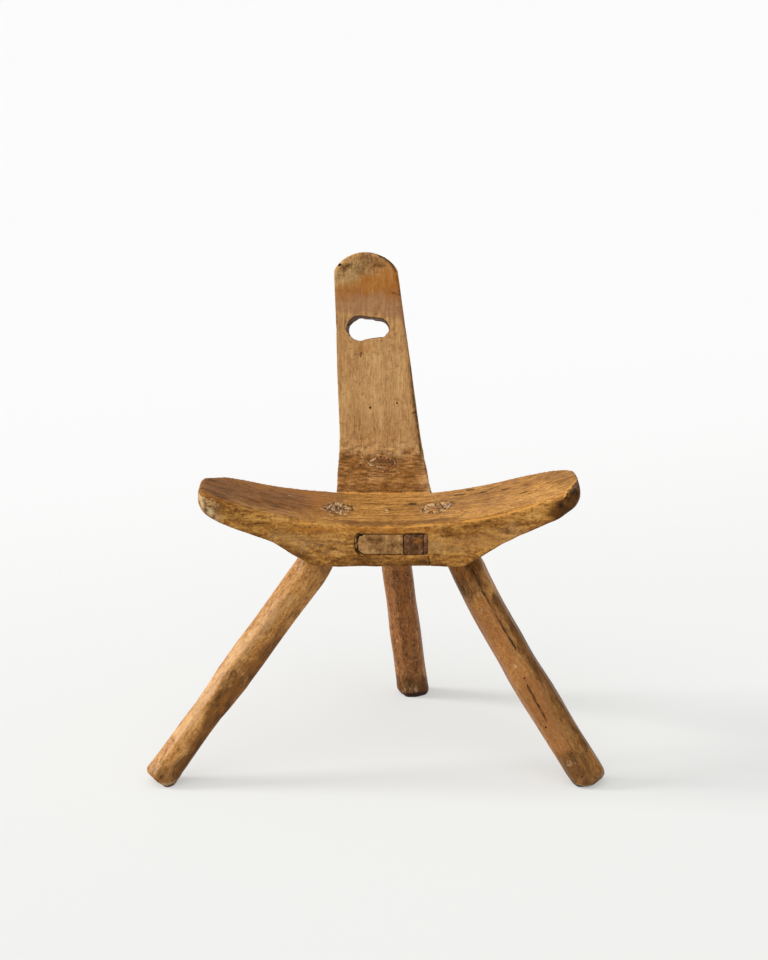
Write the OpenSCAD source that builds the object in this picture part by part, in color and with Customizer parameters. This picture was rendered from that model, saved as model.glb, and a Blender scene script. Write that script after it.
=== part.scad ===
// A staked three-legged stool with a back. The back is a natural crook: its level tail goes
// through the seat and its upright is the back rest. Lengths are in millimetres and angles in degrees.
// The floor is z = 0, the front is -Y, and left and right are those of someone who looks at the front.

/* [Seat] */
// Height of the seat's hollowed top above the floor, at its lowest line
seat_height = 349; // [300:1:450]
// Length of the seat from end to end
seat_length = 516; // [480:1:620]
// Depth of the seat at its middle, from front face to back edge
seat_depth = 172; // [150:1:230]
// Thickness of the seat at its middle
seat_thickness = 54.5; // [50:0.5:75]
// Radius of the hollow along the seat's top
hollow_radius = 680; // [500:5:900]
// How far the hollow's lowest line lies to the left of the seat's middle
hollow_shift = 5; // [0:1:20]
// Length of the flat underside between the two arms
block_length = 202; // [190:1:240]
// How far the arm's root stands out past the flat underside
root_run = 52; // [45:1:70]
// Radius that eases the arm's root into its neighbours
root_radius = 35; // [10:1:45]
// How far the underside climbs along the arm's root
root_rise = 33.5; // [25:0.5:40]
// How far the left arm's underside climbs in all, at its tip
left_arm_rise = 74; // [65:1:82]
// How far the right arm's underside climbs in all, at its tip
right_arm_rise = 83; // [65:1:88]
// Radius under each arm's tip
tip_radius = 20; // [10:1:26]
// Angle at which the arms' ends lean inwards
tip_lean = 10; // [0:1:15]
// Depth lost at the left arm's back corner
left_corner_cut = 45; // [20:1:75]
// Length over which the left arm's back edge runs in
left_corner_run = 170; // [80:1:180]
// Radius of the front corners, seen from above
front_corner = 32; // [10:1:60]
// Radius of the left back corner, seen from above
left_back_corner = 90; // [40:1:110]
// Radius of the right back corner, seen from above
right_back_corner = 100; // [30:1:110]
// Radius worn on the long top edges
top_edge = 5; // [2:0.5:8]
// How far the seat's middle lies to the right of the origin
seat_right = 17.6; // [0:0.1:30]
// How far the seat's front face lies in front of the origin
seat_front = 180.5; // [100:0.5:220]

/* [Back] */
// Overall height of the back's top above the floor
back_height = 664; // [560:1:800]
// Angle at which the back leans behind upright
back_lean = 17; // [8:0.5:24]
// Thickness of the back at its foot, just above the bend
back_thickness = 32; // [26:0.5:44]
// Thickness that the back loses from foot to top
back_thinning = 7; // [0:0.5:12]
// Width of the tail where it meets the seat
tail_width = 137; // [115:1:160]
// Width of the crook at the bend
bend_width = 117; // [100:1:150]
// Width of the back at its shoulders
shoulder_width = 92; // [80:1:120]
// Radius of the rounded top between the shoulders
crown_radius = 52; // [46:1:90]
// How far the tail's middle lies to the left of the seat's middle
tail_left = 5; // [0:0.5:15]
// How far the middle drifts to the left from tail to bend
bend_drift = 7.5; // [0:0.5:15]
// How far the middle drifts to the left from bend to shoulders
crown_drift = 21; // [0:0.5:35]
// How far the tail runs behind the seat, up to where its top line meets the back
tail_run = 124; // [100:1:170]
// Slope of the tail's top behind the seat
tail_slope = 13.5; // [5:0.5:18]
// Step from the seat's top down to the tail's top
tail_step = 2; // [1:0.5:4]
// Step from the seat's underside up to the tail's underside
tail_lift = 2.5; // [1:0.5:5]
// Radius that eases the crook's sides where they leave the tail
tail_flare = 60; // [20:5:90]
// Radius that eases the crook's sides at the waist above the bend
waist_flare = 120; // [40:5:200]
// Radius of the bend on its front, inner side
bend_inner = 52; // [35:1:75]
// Radius of the bend on its outer side
bend_outer = 88; // [60:1:95]

/* [Hand hole] */
// Width of the hand hole
hole_width = 62; // [50:1:75]
// Height of the hand hole at its left, fuller end
hole_height = 38; // [30:1:46]
// Height of the hand hole at its right end
hole_height_right = 31; // [24:1:40]
// Height of the hand hole's middle above the floor
hole_level = 555; // [500:1:640]
// How far the hand hole lies to the left of the back's middle
hole_left = 4; // [0:0.5:10]

/* [Through tenon] */
// Width of the mortise through the seat
mortise_width = 98; // [84:1:98]
// Height of the mortise
mortise_height = 28.5; // [22:0.5:32]
// How far the mortise's middle lies above the middle of the seat's thickness
mortise_rise = 2.5; // [-2:0.5:5]
// How far the mortise's middle lies to the right of the seat's middle
mortise_right = 3; // [0:0.5:3]
// Radius of the mortise's upper left corner
mortise_upper_radius = 6; // [2:0.5:12]
// Radius of the mortise's lower left corner
mortise_lower_radius = 14; // [2:0.5:18]
// Width of the wedge's face at the front of the seat
wedge_width = 26; // [18:0.5:32]
// Width that the wedge loses on its way to its tip
wedge_taper = 12; // [6:0.5:16]
// Length of the wedge
wedge_length = 128; // [90:1:145]
// Width of the thin slip between the wedge and the mortise's right side
slip_width = 6.5; // [4:0.5:10]
// Gap left between pieces that are fitted together
fit = 0.2; // [0.1:0.05:0.4]

/* [Legs] */
// Diameter of the front legs' tenons
front_tenon_d = 36; // [30:0.5:37]
// Diameter of the rear leg's tenon
rear_tenon_d = 40; // [34:0.5:40.5]
// Diameter of the left leg where it meets the seat
left_shaft_d = 48; // [45:0.5:54]
// Diameter of the left leg at its foot
left_foot_d = 43; // [36:0.5:54]
// Diameter of the left leg at its waist, below the knot
left_waist_d = 38.5; // [36:0.5:54]
// Diameter of the right leg where it meets the seat
right_shaft_d = 47.5; // [45:0.5:54]
// Diameter of the right leg at its foot
right_foot_d = 46.5; // [36:0.5:54]
// Diameter of the right leg at its waist
right_waist_d = 46; // [36:0.5:54]
// How far down the front legs' shafts their knot lies, as a part of the shaft's length
knot_part = 0.5; // [0.4:0.01:0.55]
// How far down the front legs' shafts their waist lies, as a part of the shaft's length
waist_part = 0.66; // [0.6:0.01:0.85]
// Diameter of the rear leg just below the tail
rear_shaft_d = 41; // [41:0.5:50]
// Diameter of the rear leg at its foot
rear_foot_d = 48; // [36:0.5:54]
// How far the left tenon's end lies to the left of the seat's middle
left_exit = 69; // [67:0.5:85]
// How far the left tenon's end lies behind the seat's front face
left_setback = 83; // [60:1:100]
// Sideways lean of the left tenon
left_tenon_lean = 24; // [15:0.5:30]
// Sideways lean of the left leg below its bend
left_shaft_lean = 36; // [28:0.5:40]
// Forward lean of the left leg
left_forward_lean = 19.5; // [10:0.5:25]
// How far below the seat's underside the left leg's bend begins
left_bend_drop = 6; // [2:1:90]
// Radius of the left leg's bend
left_bend_radius = 150; // [100:5:600]
// How far the right tenon's end lies to the right of the seat's middle
right_exit = 70.5; // [70:0.5:85]
// How far the right tenon's end lies behind the seat's front face
right_setback = 96; // [60:1:110]
// Sideways lean of the right tenon
right_tenon_lean = 24; // [15:0.5:30]
// Sideways lean of the right leg below its bend
right_shaft_lean = 32; // [26:0.1:38]
// Forward lean of the right leg
right_forward_lean = 21.5; // [10:0.5:25]
// How far below the seat's underside the right leg's bend begins
right_bend_drop = 56; // [2:1:90]
// Radius of the right leg's bend
right_bend_radius = 500; // [200:10:700]
// How far the rear tenon's end lies behind the seat's back edge
rear_setback = 96; // [85:1:105]
// How far the rear tenon's end lies to the left of the seat's middle
rear_left = 7.5; // [0:0.5:15]
// Sideways lean of the rear leg, to the right
rear_side_lean = 6.9; // [0:0.1:10]
// Backward lean of the rear leg
rear_back_lean = 8; // [3:0.5:16]
// Height of wood worn off each foot's low corner where it meets the floor
foot_wear = 8; // [4:0.5:12]
// Chamfer round each foot
foot_chamfer = 4; // [1:0.5:6]

/* [Tenon wedges] */
// Thickness of a leg wedge at its head
leg_wedge_head = 6; // [4:0.5:8]
// Thickness of a leg wedge at its tip
leg_wedge_tip = 1.5; // [1:0.25:3]
// Depth to which a leg wedge is driven
leg_wedge_depth = 34; // [20:1:40]

/* [Hidden] */
$fn = 96;

// Length by which cutters run past the wood that they cut
over = 60;
// Length that spans the whole part
span = 1200;
// Sides of the circle that hollows the seat
hollow_sides = 360;
// Flat steps in a rounded corner of an outline
corner_steps = 8;
// Steps along a leg's bend, and sides of a leg's round shaft
bend_steps = 6;
shaft_sides = 40;

seat_under = seat_height - seat_thickness;
half_seat = seat_length / 2;
half_block = block_length / 2;
tip_run = (seat_thickness + 2 * over) * tan(tip_lean);
mortise_mid = seat_under + seat_thickness / 2 + mortise_rise;
mortise_top = mortise_mid + mortise_height / 2;
mortise_bottom = mortise_mid - mortise_height / 2;
mortise_l = mortise_right - mortise_width / 2;
mortise_r = mortise_right + mortise_width / 2;
wedge_r = mortise_r - slip_width;
tenon_r = wedge_r - wedge_width;

tail_start = seat_depth + fit;
tail_top = seat_height - tail_step;
tail_bottom = seat_under + tail_lift;
// Where the tail's top line meets the back's front line
crook_y = seat_depth + tail_run;
crook_z = tail_top + (crook_y - tail_start) * tan(tail_slope);
// Angle between the back's front and rear faces
thinning_angle = atan(back_thinning * cos(back_lean) / (back_height - crook_z));
back_run = (back_height - crook_z) / cos(back_lean);
rear_lean = back_lean + thinning_angle;
heel_y = crook_y + back_thickness / cos(back_lean);
bend_z = crook_z + bend_inner * tan((90 - back_lean - tail_slope) / 2) * cos(back_lean);
hole_run = (hole_level - crook_z) / cos(back_lean);
// Heights up the back, from where the tail's top line meets it: the tail's end, the waist above
// the bend, and the shoulders where the rounded top begins
tail_end_run = -tail_run * sin(back_lean) - (tail_top - tail_bottom) * cos(back_lean);
waist_run = (bend_z - crook_z) / cos(back_lean);
shoulder_run = back_run - crown_radius + sqrt(pow(crown_radius, 2) - pow(shoulder_width / 2, 2));

// Turns [a, b] into a unit vector
function unit(v) = v / norm(v);

// The points that replace corner b of a path a, b, c by an arc of radius r
function corner(a, b, c, r) =
    let (
        u = unit(a - b),
        w = unit(c - b),
        half = acos(max(-1, min(1, u * w))) / 2,
        reach = r / tan(half),
        hub = b + unit(u + w) * r / sin(half),
        from = b + u * reach - hub,
        to = b + w * reach - hub,
        start = atan2(from[1], from[0]),
        turn_raw = atan2(to[1], to[0]) - start,
        turn = turn_raw > 180 ? turn_raw - 360 : turn_raw < -180 ? turn_raw + 360 : turn_raw
    )
    r <= 0 ? [b] : [
        for (i = [0:corner_steps])
            hub + r * [cos(start + turn * i / corner_steps), sin(start + turn * i / corner_steps)]
    ];

// A closed outline whose corners are [x, y, radius]
function rounded(pts) = [
    for (i = [0:len(pts) - 1])
        let (
            a = pts[(i + len(pts) - 1) % len(pts)],
            b = pts[i],
            c = pts[(i + 1) % len(pts)]
        )
        each corner([a[0], a[1]], [b[0], b[1]], [c[0], c[1]], b[2])
];

// Puts what is drawn from the middle of the seat's front edge, on the floor, into the part's frame
module in_place() {
    translate([seat_right, -seat_front, 0]) children();
}

// Extrudes an outline of [y, z] along X, from side to side
module across(width) {
    translate([-width / 2, 0, 0])
        rotate([90, 0, 90])
            linear_extrude(height = width) children();
}

// Extrudes an outline of [x, z] backwards from y = start
module backwards(start, depth) {
    translate([0, start + depth, 0])
        rotate([90, 0, 0])
            linear_extrude(height = depth) children();
}

// The cylinder whose lower side hollows the seat and trims the front tenons
module hollow() {
    translate([-hollow_shift, -over, seat_height + hollow_radius])
        rotate([-90, 0, 0])
            cylinder(r = hollow_radius, h = seat_depth + 2 * over, $fn = hollow_sides);
}

// The long top edge, worn round: turned about the hollow's own axis
module edge_wear() {
    translate([-hollow_shift, 0, seat_height + hollow_radius])
        rotate([-90, 0, 0])
            rotate_extrude($fn = hollow_sides)
                difference() {
                    translate([hollow_radius - top_edge, -top_edge]) square(2 * top_edge);
                    translate([hollow_radius + top_edge, top_edge]) circle(r = top_edge);
                }
}

// Seat as seen from the front, before the hollow is cut
function seat_face() = rounded([
    [-half_block, seat_under, root_radius],
    [half_block, seat_under, root_radius],
    [half_block + root_run, seat_under + root_rise, root_radius],
    [half_seat, seat_under + right_arm_rise, tip_radius],
    [half_seat - tip_run, seat_height + 2 * over, 0],
    [tip_run - half_seat, seat_height + 2 * over, 0],
    [-half_seat, seat_under + left_arm_rise, tip_radius],
    [-half_block - root_run, seat_under + root_rise, root_radius]
]);

// Seat as seen from above
function seat_plan() = rounded([
    [-half_seat, 0, front_corner],
    [half_seat, 0, front_corner],
    [half_seat, seat_depth, right_back_corner],
    [-half_seat + left_corner_run, seat_depth, left_back_corner],
    [-half_seat, seat_depth - left_corner_cut, left_back_corner]
]);

// The mortise through the seat, drawn in by a gap on every side and ended at x = right
function mortise_outline(gap, right) = rounded([
    [mortise_l + gap, mortise_bottom + gap, mortise_lower_radius - gap],
    [right, mortise_bottom + gap, 0],
    [right, mortise_top - gap, 0],
    [mortise_l + gap, mortise_top - gap, mortise_upper_radius - gap]
]);

// The upper and front line of the crook, from the seat to past the back's top
function crook_front() = concat(
    [[tail_start - over, tail_top - over * tan(tail_slope)]],
    corner(
        [tail_start, tail_top],
        [crook_y, crook_z],
        [crook_y + over * sin(back_lean), crook_z + over * cos(back_lean)],
        bend_inner
    ),
    [[crook_y + (back_run + over) * sin(back_lean), crook_z + (back_run + over) * cos(back_lean)]]
);

// The crook seen from the side
module crook_profile() {
    heel_run = (crook_z - tail_bottom) * tan(rear_lean);
    heel = [heel_y - heel_run, tail_bottom];
    top_y = heel_y + (back_height + over - crook_z) * tan(rear_lean);
    difference() {
        polygon(concat(
            [[tail_start, tail_bottom]],
            corner([tail_start, tail_bottom], heel, [top_y, back_height + over], bend_outer),
            [[top_y, back_height + over], [tail_start, back_height + over]]
        ));
        above_crook();
    }
}

// Everything above and in front of the crook
module above_crook() {
    polygon(concat(crook_front(), [[tail_start - over, back_height + 2 * over]]));
}

// The middle of the crook at a distance up the back from where the tail's top line meets it
function crook_mid(run) =
    -tail_left - bend_drift - crown_drift * (run - waist_run) / (shoulder_run - waist_run);

// Half the crook's width at a distance up the back
function crook_half(run) =
    (bend_width + (shoulder_width - bend_width) * (run - waist_run) / (shoulder_run - waist_run)) / 2;

// The crook seen square to the back's front face, with its rounded top
module crook_face() {
    low = tail_end_run - over;
    high = shoulder_run + over;
    difference() {
        polygon(rounded([
            [-tail_left - tail_width / 2, low, 0],
            [-tail_left + tail_width / 2, low, 0],
            [-tail_left + tail_width / 2, tail_end_run, tail_flare],
            [crook_mid(waist_run) + crook_half(waist_run), waist_run, waist_flare],
            [crook_mid(high) + crook_half(high), high, 0],
            [crook_mid(high) - crook_half(high), high, 0],
            [crook_mid(waist_run) - crook_half(waist_run), waist_run, waist_flare],
            [-tail_left - tail_width / 2, tail_end_run, tail_flare]
        ]));
        difference() {
            translate([-tail_width, shoulder_run]) square([2 * tail_width, 2 * over]);
            translate([crook_mid(shoulder_run), back_run - crown_radius]) circle(r = crown_radius);
        }
    }
}

// Stands a drawing made square to the back's front face on the leaning back
module on_back() {
    translate([0, crook_y, crook_z])
        rotate([90 - back_lean, 0, 0]) children();
}

// The hand hole, fuller at its left end than at its right
module hand_hole() {
    r_left = hole_height / 2;
    r_right = hole_height_right / 2;
    mid = crook_mid(hole_run) - hole_left;
    x_left = mid - hole_width / 2 + r_left;
    x_right = mid + hole_width / 2 - r_right;
    on_back()
        translate([0, hole_run, -over])
            linear_extrude(height = 2 * over)
                union() {
                    translate([x_left, 0]) circle(r = r_left);
                    translate([x_right, 0]) circle(r = r_right);
                    polygon([
                        [x_left, -r_left], [x_right, -r_right],
                        [x_right, r_right], [x_left, r_left]
                    ]);
                }
}

// Puts a leg's tenon end at its place on the seat. Down the leg is -Z, and it bends in the XZ plane.
module at_front_leg(side) {
    exit_x = side < 0 ? -left_exit : right_exit;
    exit_y = side < 0 ? left_setback : right_setback;
    forward = side < 0 ? left_forward_lean : right_forward_lean;
    lean = side < 0 ? left_tenon_lean : right_tenon_lean;
    translate([exit_x, exit_y, seat_height])
        rotate([-forward, 0, 0])
            rotate([0, -side * lean, 0]) children();
}

module at_rear_leg() {
    exit_y = seat_depth + rear_setback;
    exit_z = tail_top + rear_setback * tan(tail_slope);
    translate([-rear_left, exit_y, exit_z])
        rotate([rear_back_lean, 0, 0])
            rotate([0, -rear_side_lean, 0]) children();
}

// A bore for a leg's tenon, from above the wood to below it
module tenon_bore(tenon_d) {
    translate([0, 0, -2 * over])
        cylinder(d = tenon_d + 2 * fit, h = 3 * over);
}

// The taper that a leg wedge and its slot share, grown by a gap
module wedge_taper_shape(gap) {
    head = leg_wedge_head / 2 + gap;
    tip = leg_wedge_tip / 2 + gap;
    deep = leg_wedge_depth + gap;
    rise = over / 2;
    slope = (head - tip) / leg_wedge_depth;
    rotate([90, 0, 0])
        translate([0, 0, -over])
            linear_extrude(height = 2 * over)
                polygon([
                    [-head - slope * rise, rise], [head + slope * rise, rise],
                    [tip, -deep], [-tip, -deep]
                ]);
}

// A leg wedge as wide as its tenon
module leg_wedge_blank(tenon_d) {
    intersection() {
        translate([0, 0, -over]) cylinder(d = tenon_d, h = 2 * over);
        wedge_taper_shape(0);
    }
}

module below_floor() {
    translate([-span / 2, -span / 2, -over])
        cube([span, span, over]);
}

// A round branch through stations of [x, z, angle from -Z towards +X, radius]
module branch(stations) {
    n = len(stations);
    points = [
        for (s = stations)
            for (k = [0:shaft_sides - 1])
                let (turn = 360 * k / shaft_sides)
                [
                    s[0] + s[3] * cos(turn) * cos(s[2]),
                    s[3] * sin(turn),
                    s[1] + s[3] * cos(turn) * sin(s[2])
                ]
    ];
    skin = [
        for (i = [0:n - 2])
            for (k = [0:shaft_sides - 1])
                let (
                    a = i * shaft_sides + k,
                    b = i * shaft_sides + (k + 1) % shaft_sides
                )
                each [[a, b, b + shaft_sides], [a, b + shaft_sides, a + shaft_sides]]
    ];
    top = [for (k = [shaft_sides - 1:-1:0]) k];
    foot = [for (k = [0:shaft_sides - 1]) (n - 1) * shaft_sides + k];
    polyhedron(points = points, faces = concat([top], skin, [foot]));
}

// How long a shaft is that starts at a height and stands at an angle whose cosine is given,
// so that its low corner reaches under the floor by the wear
function shaft_length(height, upright, foot_d) =
    (height - foot_d / 2 * sqrt(1 - pow(upright, 2)) + foot_wear) / upright;

// A front leg: tenon, bend and shaft, which fits up against the seat's underside.
// Side is -1 on the left and 1 on the right.
module front_leg(side) {
    forward = side < 0 ? left_forward_lean : right_forward_lean;
    lean_in = side < 0 ? left_tenon_lean : right_tenon_lean;
    lean_out = side < 0 ? left_shaft_lean : right_shaft_lean;
    bend_drop = side < 0 ? left_bend_drop : right_bend_drop;
    bend_r = side < 0 ? left_bend_radius : right_bend_radius;
    shaft_d = side < 0 ? left_shaft_d : right_shaft_d;
    waist_d = side < 0 ? left_waist_d : right_waist_d;
    foot_d = side < 0 ? left_foot_d : right_foot_d;
    bend = lean_out - lean_in;
    upright_in = cos(lean_in) * cos(forward);
    upright_out = cos(lean_out) * cos(forward);
    tenon_run = (seat_thickness + bend_drop) / upright_in;
    bend_height = seat_height - tenon_run * upright_in
        - bend_r * (sin(lean_out) - sin(lean_in)) * cos(forward);
    run = shaft_length(bend_height, upright_out, foot_d);
    bend_end = [side * bend_r * (1 - cos(bend)), -tenon_run - bend_r * sin(bend)];
    down = [side * sin(bend), -cos(bend)];
    lower = [
        [knot_part * run, shaft_d / 2],
        [waist_part * run, waist_d / 2],
        [run - foot_chamfer, foot_d / 2],
        [run, foot_d / 2 - foot_chamfer]
    ];
    in_place()
        difference() {
            union() {
                difference() {
                    at_front_leg(side)
                        branch(concat(
                            [[0, 0, 0, shaft_d / 2]],
                            [
                                for (i = [0:bend_steps])
                                    let (turn = bend * i / bend_steps)
                                    [
                                        side * bend_r * (1 - cos(turn)),
                                        -tenon_run - bend_r * sin(turn),
                                        side * turn,
                                        shaft_d / 2
                                    ]
                            ],
                            [
                                for (k = lower)
                                    let (at = bend_end + k[0] * down)
                                    [at[0], at[1], side * bend, k[1]]
                            ]
                        ));
                    translate([0, 0, -fit])
                        backwards(-over, seat_depth + 2 * over) polygon(seat_face());
                }
                at_front_leg(side)
                    translate([0, 0, -tenon_run])
                        cylinder(d = front_tenon_d, h = tenon_run + over / 2);
            }
            at_front_leg(side) wedge_taper_shape(fit);
            hollow();
            below_floor();
        }
}

module front_leg_wedge(side) {
    in_place()
        difference() {
            at_front_leg(side) leg_wedge_blank(front_tenon_d);
            hollow();
        }
}

module seat() {
    color("peru")
        in_place()
            difference() {
                intersection() {
                    backwards(-over, seat_depth + 2 * over) polygon(seat_face());
                    translate([0, 0, seat_under - over])
                        linear_extrude(height = seat_thickness + 3 * over) polygon(seat_plan());
                }
                hollow();
                edge_wear();
                backwards(-over, seat_depth + 2 * over)
                    polygon(mortise_outline(0, mortise_r));
                at_front_leg(-1) tenon_bore(front_tenon_d);
                at_front_leg(1) tenon_bore(front_tenon_d);
            }
}

module back_post() {
    color("burlywood")
        in_place()
            difference() {
                union() {
                    intersection() {
                        across(span) crook_profile();
                        on_back()
                            translate([0, 0, -span / 2])
                                linear_extrude(height = span) crook_face();
                    }
                    through_tenon();
                }
                hand_hole();
                at_rear_leg() tenon_bore(rear_tenon_d);
            }
}

// The tail's tenon, level through the seat, with its right flank cut to the wedge's taper
module through_tenon() {
    difference() {
        backwards(0, seat_depth + 2 * fit) polygon(mortise_outline(fit, wedge_r));
        translate([0, 0, mortise_bottom - over])
            linear_extrude(height = mortise_height + 2 * over) wedge_plan(fit, over);
    }
}

// The tail wedge seen from above, grown by a gap, with its head drawn out past the seat's front
module wedge_plan(gap, head) {
    slope = wedge_taper / wedge_length;
    polygon([
        [tenon_r - gap - slope * head, -head],
        [wedge_r + over * (gap > 0 ? 1 : 0), -head],
        [wedge_r + over * (gap > 0 ? 1 : 0), wedge_length + gap],
        [tenon_r + wedge_taper - gap, wedge_length + gap]
    ]);
}

module tenon_wedge() {
    color("saddlebrown")
        in_place()
            translate([0, 0, mortise_bottom + fit])
                linear_extrude(height = mortise_height - 2 * fit) wedge_plan(0, 0);
}

module tenon_slip() {
    color("sienna")
        in_place()
            translate([wedge_r + fit, 0, mortise_bottom + fit])
                cube([slip_width - 2 * fit, wedge_length, mortise_height - 2 * fit]);
}

module leg_left() {
    color("goldenrod") front_leg(-1);
}

module leg_right() {
    color("darkgoldenrod") front_leg(1);
}

module leg_rear() {
    upright = cos(rear_side_lean) * cos(rear_back_lean);
    top_z = tail_top + rear_setback * tan(tail_slope);
    tenon_run = (top_z - tail_bottom) / upright + rear_tenon_d / 2 * tan(acos(upright));
    run = shaft_length(top_z - tenon_run * upright, upright, rear_foot_d);
    color("chocolate")
        in_place()
            difference() {
                at_rear_leg() {
                    difference() {
                        translate([0, 0, -tenon_run - rear_tenon_d / 2])
                            cylinder(d = rear_tenon_d, h = tenon_run + rear_tenon_d);
                        rotate([0, 0, 90]) wedge_taper_shape(fit);
                    }
                    translate([0, 0, -tenon_run - run])
                        rear_shaft(run);
                }
                across(span) above_crook();
                below_floor();
            }
}

// The rear leg below its tenon, from its foot at z = 0 up
module rear_shaft(run) {
    translate([0, 0, foot_chamfer])
        cylinder(d1 = rear_foot_d, d2 = rear_shaft_d, h = run - foot_chamfer);
    cylinder(d1 = rear_foot_d - 2 * foot_chamfer, d2 = rear_foot_d, h = foot_chamfer);
}

module leg_left_wedge() {
    color("tan") front_leg_wedge(-1);
}

module leg_right_wedge() {
    color("tan") front_leg_wedge(1);
}

module leg_rear_wedge() {
    color("tan")
        in_place()
            difference() {
                at_rear_leg() rotate([0, 0, 90]) leg_wedge_blank(rear_tenon_d);
                across(span) above_crook();
            }
}

seat();
back_post();
tenon_wedge();
tenon_slip();
leg_left();
leg_right();
leg_rear();
leg_left_wedge();
leg_right_wedge();
leg_rear_wedge();
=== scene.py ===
"""An old staked stool with a back: its looks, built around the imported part.

Every piece starts as a copy of its CAD solid, is remeshed fine enough for tool marks, and is then worn, cut
and stained. Lengths in the tables and the shaping functions are in millimetres. Left and right are those of
someone who looks at the stool's front.
"""
from collections import namedtuple
from itertools import product
from math import radians

import bpy
import numpy as np
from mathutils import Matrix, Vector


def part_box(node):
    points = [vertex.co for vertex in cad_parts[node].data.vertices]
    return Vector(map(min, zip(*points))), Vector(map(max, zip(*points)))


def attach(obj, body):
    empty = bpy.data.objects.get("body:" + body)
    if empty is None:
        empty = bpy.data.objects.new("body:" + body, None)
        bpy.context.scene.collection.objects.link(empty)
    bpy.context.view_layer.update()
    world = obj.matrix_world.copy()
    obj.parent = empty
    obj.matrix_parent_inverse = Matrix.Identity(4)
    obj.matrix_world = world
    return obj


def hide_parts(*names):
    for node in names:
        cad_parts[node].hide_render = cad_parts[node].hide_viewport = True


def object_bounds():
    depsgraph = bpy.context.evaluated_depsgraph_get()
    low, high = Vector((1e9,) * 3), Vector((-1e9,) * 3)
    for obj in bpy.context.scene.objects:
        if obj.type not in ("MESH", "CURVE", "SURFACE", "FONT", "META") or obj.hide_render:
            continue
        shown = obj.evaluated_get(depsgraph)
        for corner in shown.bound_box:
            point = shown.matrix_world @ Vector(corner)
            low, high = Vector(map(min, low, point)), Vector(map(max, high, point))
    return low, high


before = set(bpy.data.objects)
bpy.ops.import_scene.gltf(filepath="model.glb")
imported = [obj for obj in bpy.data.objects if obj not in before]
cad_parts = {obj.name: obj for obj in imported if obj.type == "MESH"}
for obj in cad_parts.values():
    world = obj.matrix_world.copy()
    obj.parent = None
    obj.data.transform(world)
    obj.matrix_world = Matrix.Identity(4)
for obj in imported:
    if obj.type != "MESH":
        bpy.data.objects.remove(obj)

bl_info = {
    "name": "Staked stool looks",
    "version": (1, 0, 0),
    "blender": (4, 5, 0),
    "location": "3D View > Sidebar > Stool",
    "description": "Hand-cut wood surfaces, stains, floor and light for a staked stool with a back",
    "category": "Object",
}

CAD_BOX = [list(corner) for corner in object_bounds()]
# Millimetres in a metre
MM = 1000.0
# Vertices nearer to each other than this, in metres, become one
MERGED = 1e-6
# How far a worn surface may stand proud of its solid's box
SPARE = 1.5
# How many cells wide the random pattern is before it repeats
GRID = 32

# The middle of the seat's length
SEAT_MIDDLE = 17.6
# The hand hole's middle, the reach of its wall, and the way that the back rest faces
HOLE_MIDDLE = (-12.4, 189.0, 555.0)
HOLE_REACH = (34, 90, 21)
BACK_FACING = np.array([0.0, -0.956, 0.292])

# The crook's fibres run level through the seat, round the bend and up the back: points of y and z
CROOK_LINE = [
    (-181, 323), (-8, 323), (50, 328), (90, 339), (116, 358), (131, 385), (143, 420), (171, 511), (220, 664)
]
# The line is cut into this many even points and smoothed this often
CROOK_POINTS = 90
CROOK_PASSES = 12

# Random bumps: width, the same all round or along each axis, seed and height. A leg adds a seed of its own.
BUMPS = {
    "scoop": ((70, 38, 60), 11, 0.7),
    "small scoop": ((26, 15, 20), 12, 0.3),
    "hewn side": ((9, 60, 55), 13, 0.4),
    "rough underside": ((16, 50, 30), 14, 0.9),
    "ragged end": (9, 15, 6),
    "ragged slope": ((5, 5, 9), 16, 0.12),
    "ragged rim": (5, 17, 4),
    "torn end": ((5, 5, 9), 18, 1),
    "crook swell": ((40, 40, 70), 21, 0.6),
    "crook ripple": ((12, 12, 30), 22, 0.2),
    "cut rim": ((6, 14, 6), 23, 1.3),
    "chopped bend": ((11, 7, 6), 24, 0.7),
    "hole wall": ((4, 4, 2), 25, 0.5),
    "split wedge": ((5, 30, 5), 31, 0.35),
    "leg wedge": (5, 34, 0.2),
    "branch swell": ((22, 22, 55), 20, 0.7),
    "branch ripple": ((8, 8, 22), 21, 0.22),
    "worn foot": ((7, 7, 9), 22, 0.8),
    "patchy arris": (14, 23, 0.3),
    "wavy flat": (45, 0, 0.02),
    "torn chip": (7, 64, 1.6),
    "mark edge": (3, 71, 1),
    "grain edge": (8, 74, 3),
    "torn grain": ((1.7, 6, 8), 77, 1),
    "coarse grain": ((4, 12, 9), 78, 0.5),
    "patchy dirt": (7, 79, 0.5),
    "tint edge": (16, 81, 5),
    "small tint edge": (5, 84, 1.5),
}

# A hole, pit or crack, with how much grime and painted shade darken it, how ragged it is and, for a ring, how
# much of its middle stays bare
Mark = namedtuple("Mark", "path reach depth dirt rough core", defaults=(1.0, 0.35, 0))
# How far round a mark the faces are split, and how often
SPLIT_ROOM = 2.0
SPLIT_CUTS = 2
# How far a mark's grime and painted shade, a tint and torn end grain spread, where 1 is the reach. Thin
# strokes keep to their paths.
DIRT_AND_SHADE_SPREAD = 1.6
TINT_SPREAD = 1.35
GRAIN_SPREAD = 1.4
THIN_STROKE = 12
# Arrises stand out from a surface smoothed this often. So high they are rubbed, so deep a crease is darkened
# with grime and painted shade.
WEAR_PASSES = 8
RUBBED = 0.5
CREASED = 0.4
# What is painted on the wood, each as a strength from 0 to 1
LAYERS = ("dark", "brown", "pale", "light", "warm", "cool", "green", "mottle", "worn")

# Rough end grain round the tenons: middle, reach, bare core and strength
END_GRAIN = [
    ((-52, -99, 352), (28, 40, 14), 0, 1.0),
    ((79, -98, 352), (24, 27, 12), 0.72, 1.0),
    ((102, -79, 354), (10, 17, 12), 0.6, 0.8),
    ((8.5, 90, 371), (20.5, 16, 12), 0.87, 1.1),
    ((11, -100, 349), (11, 12, 8), 0.5, 0.7),
]


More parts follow.
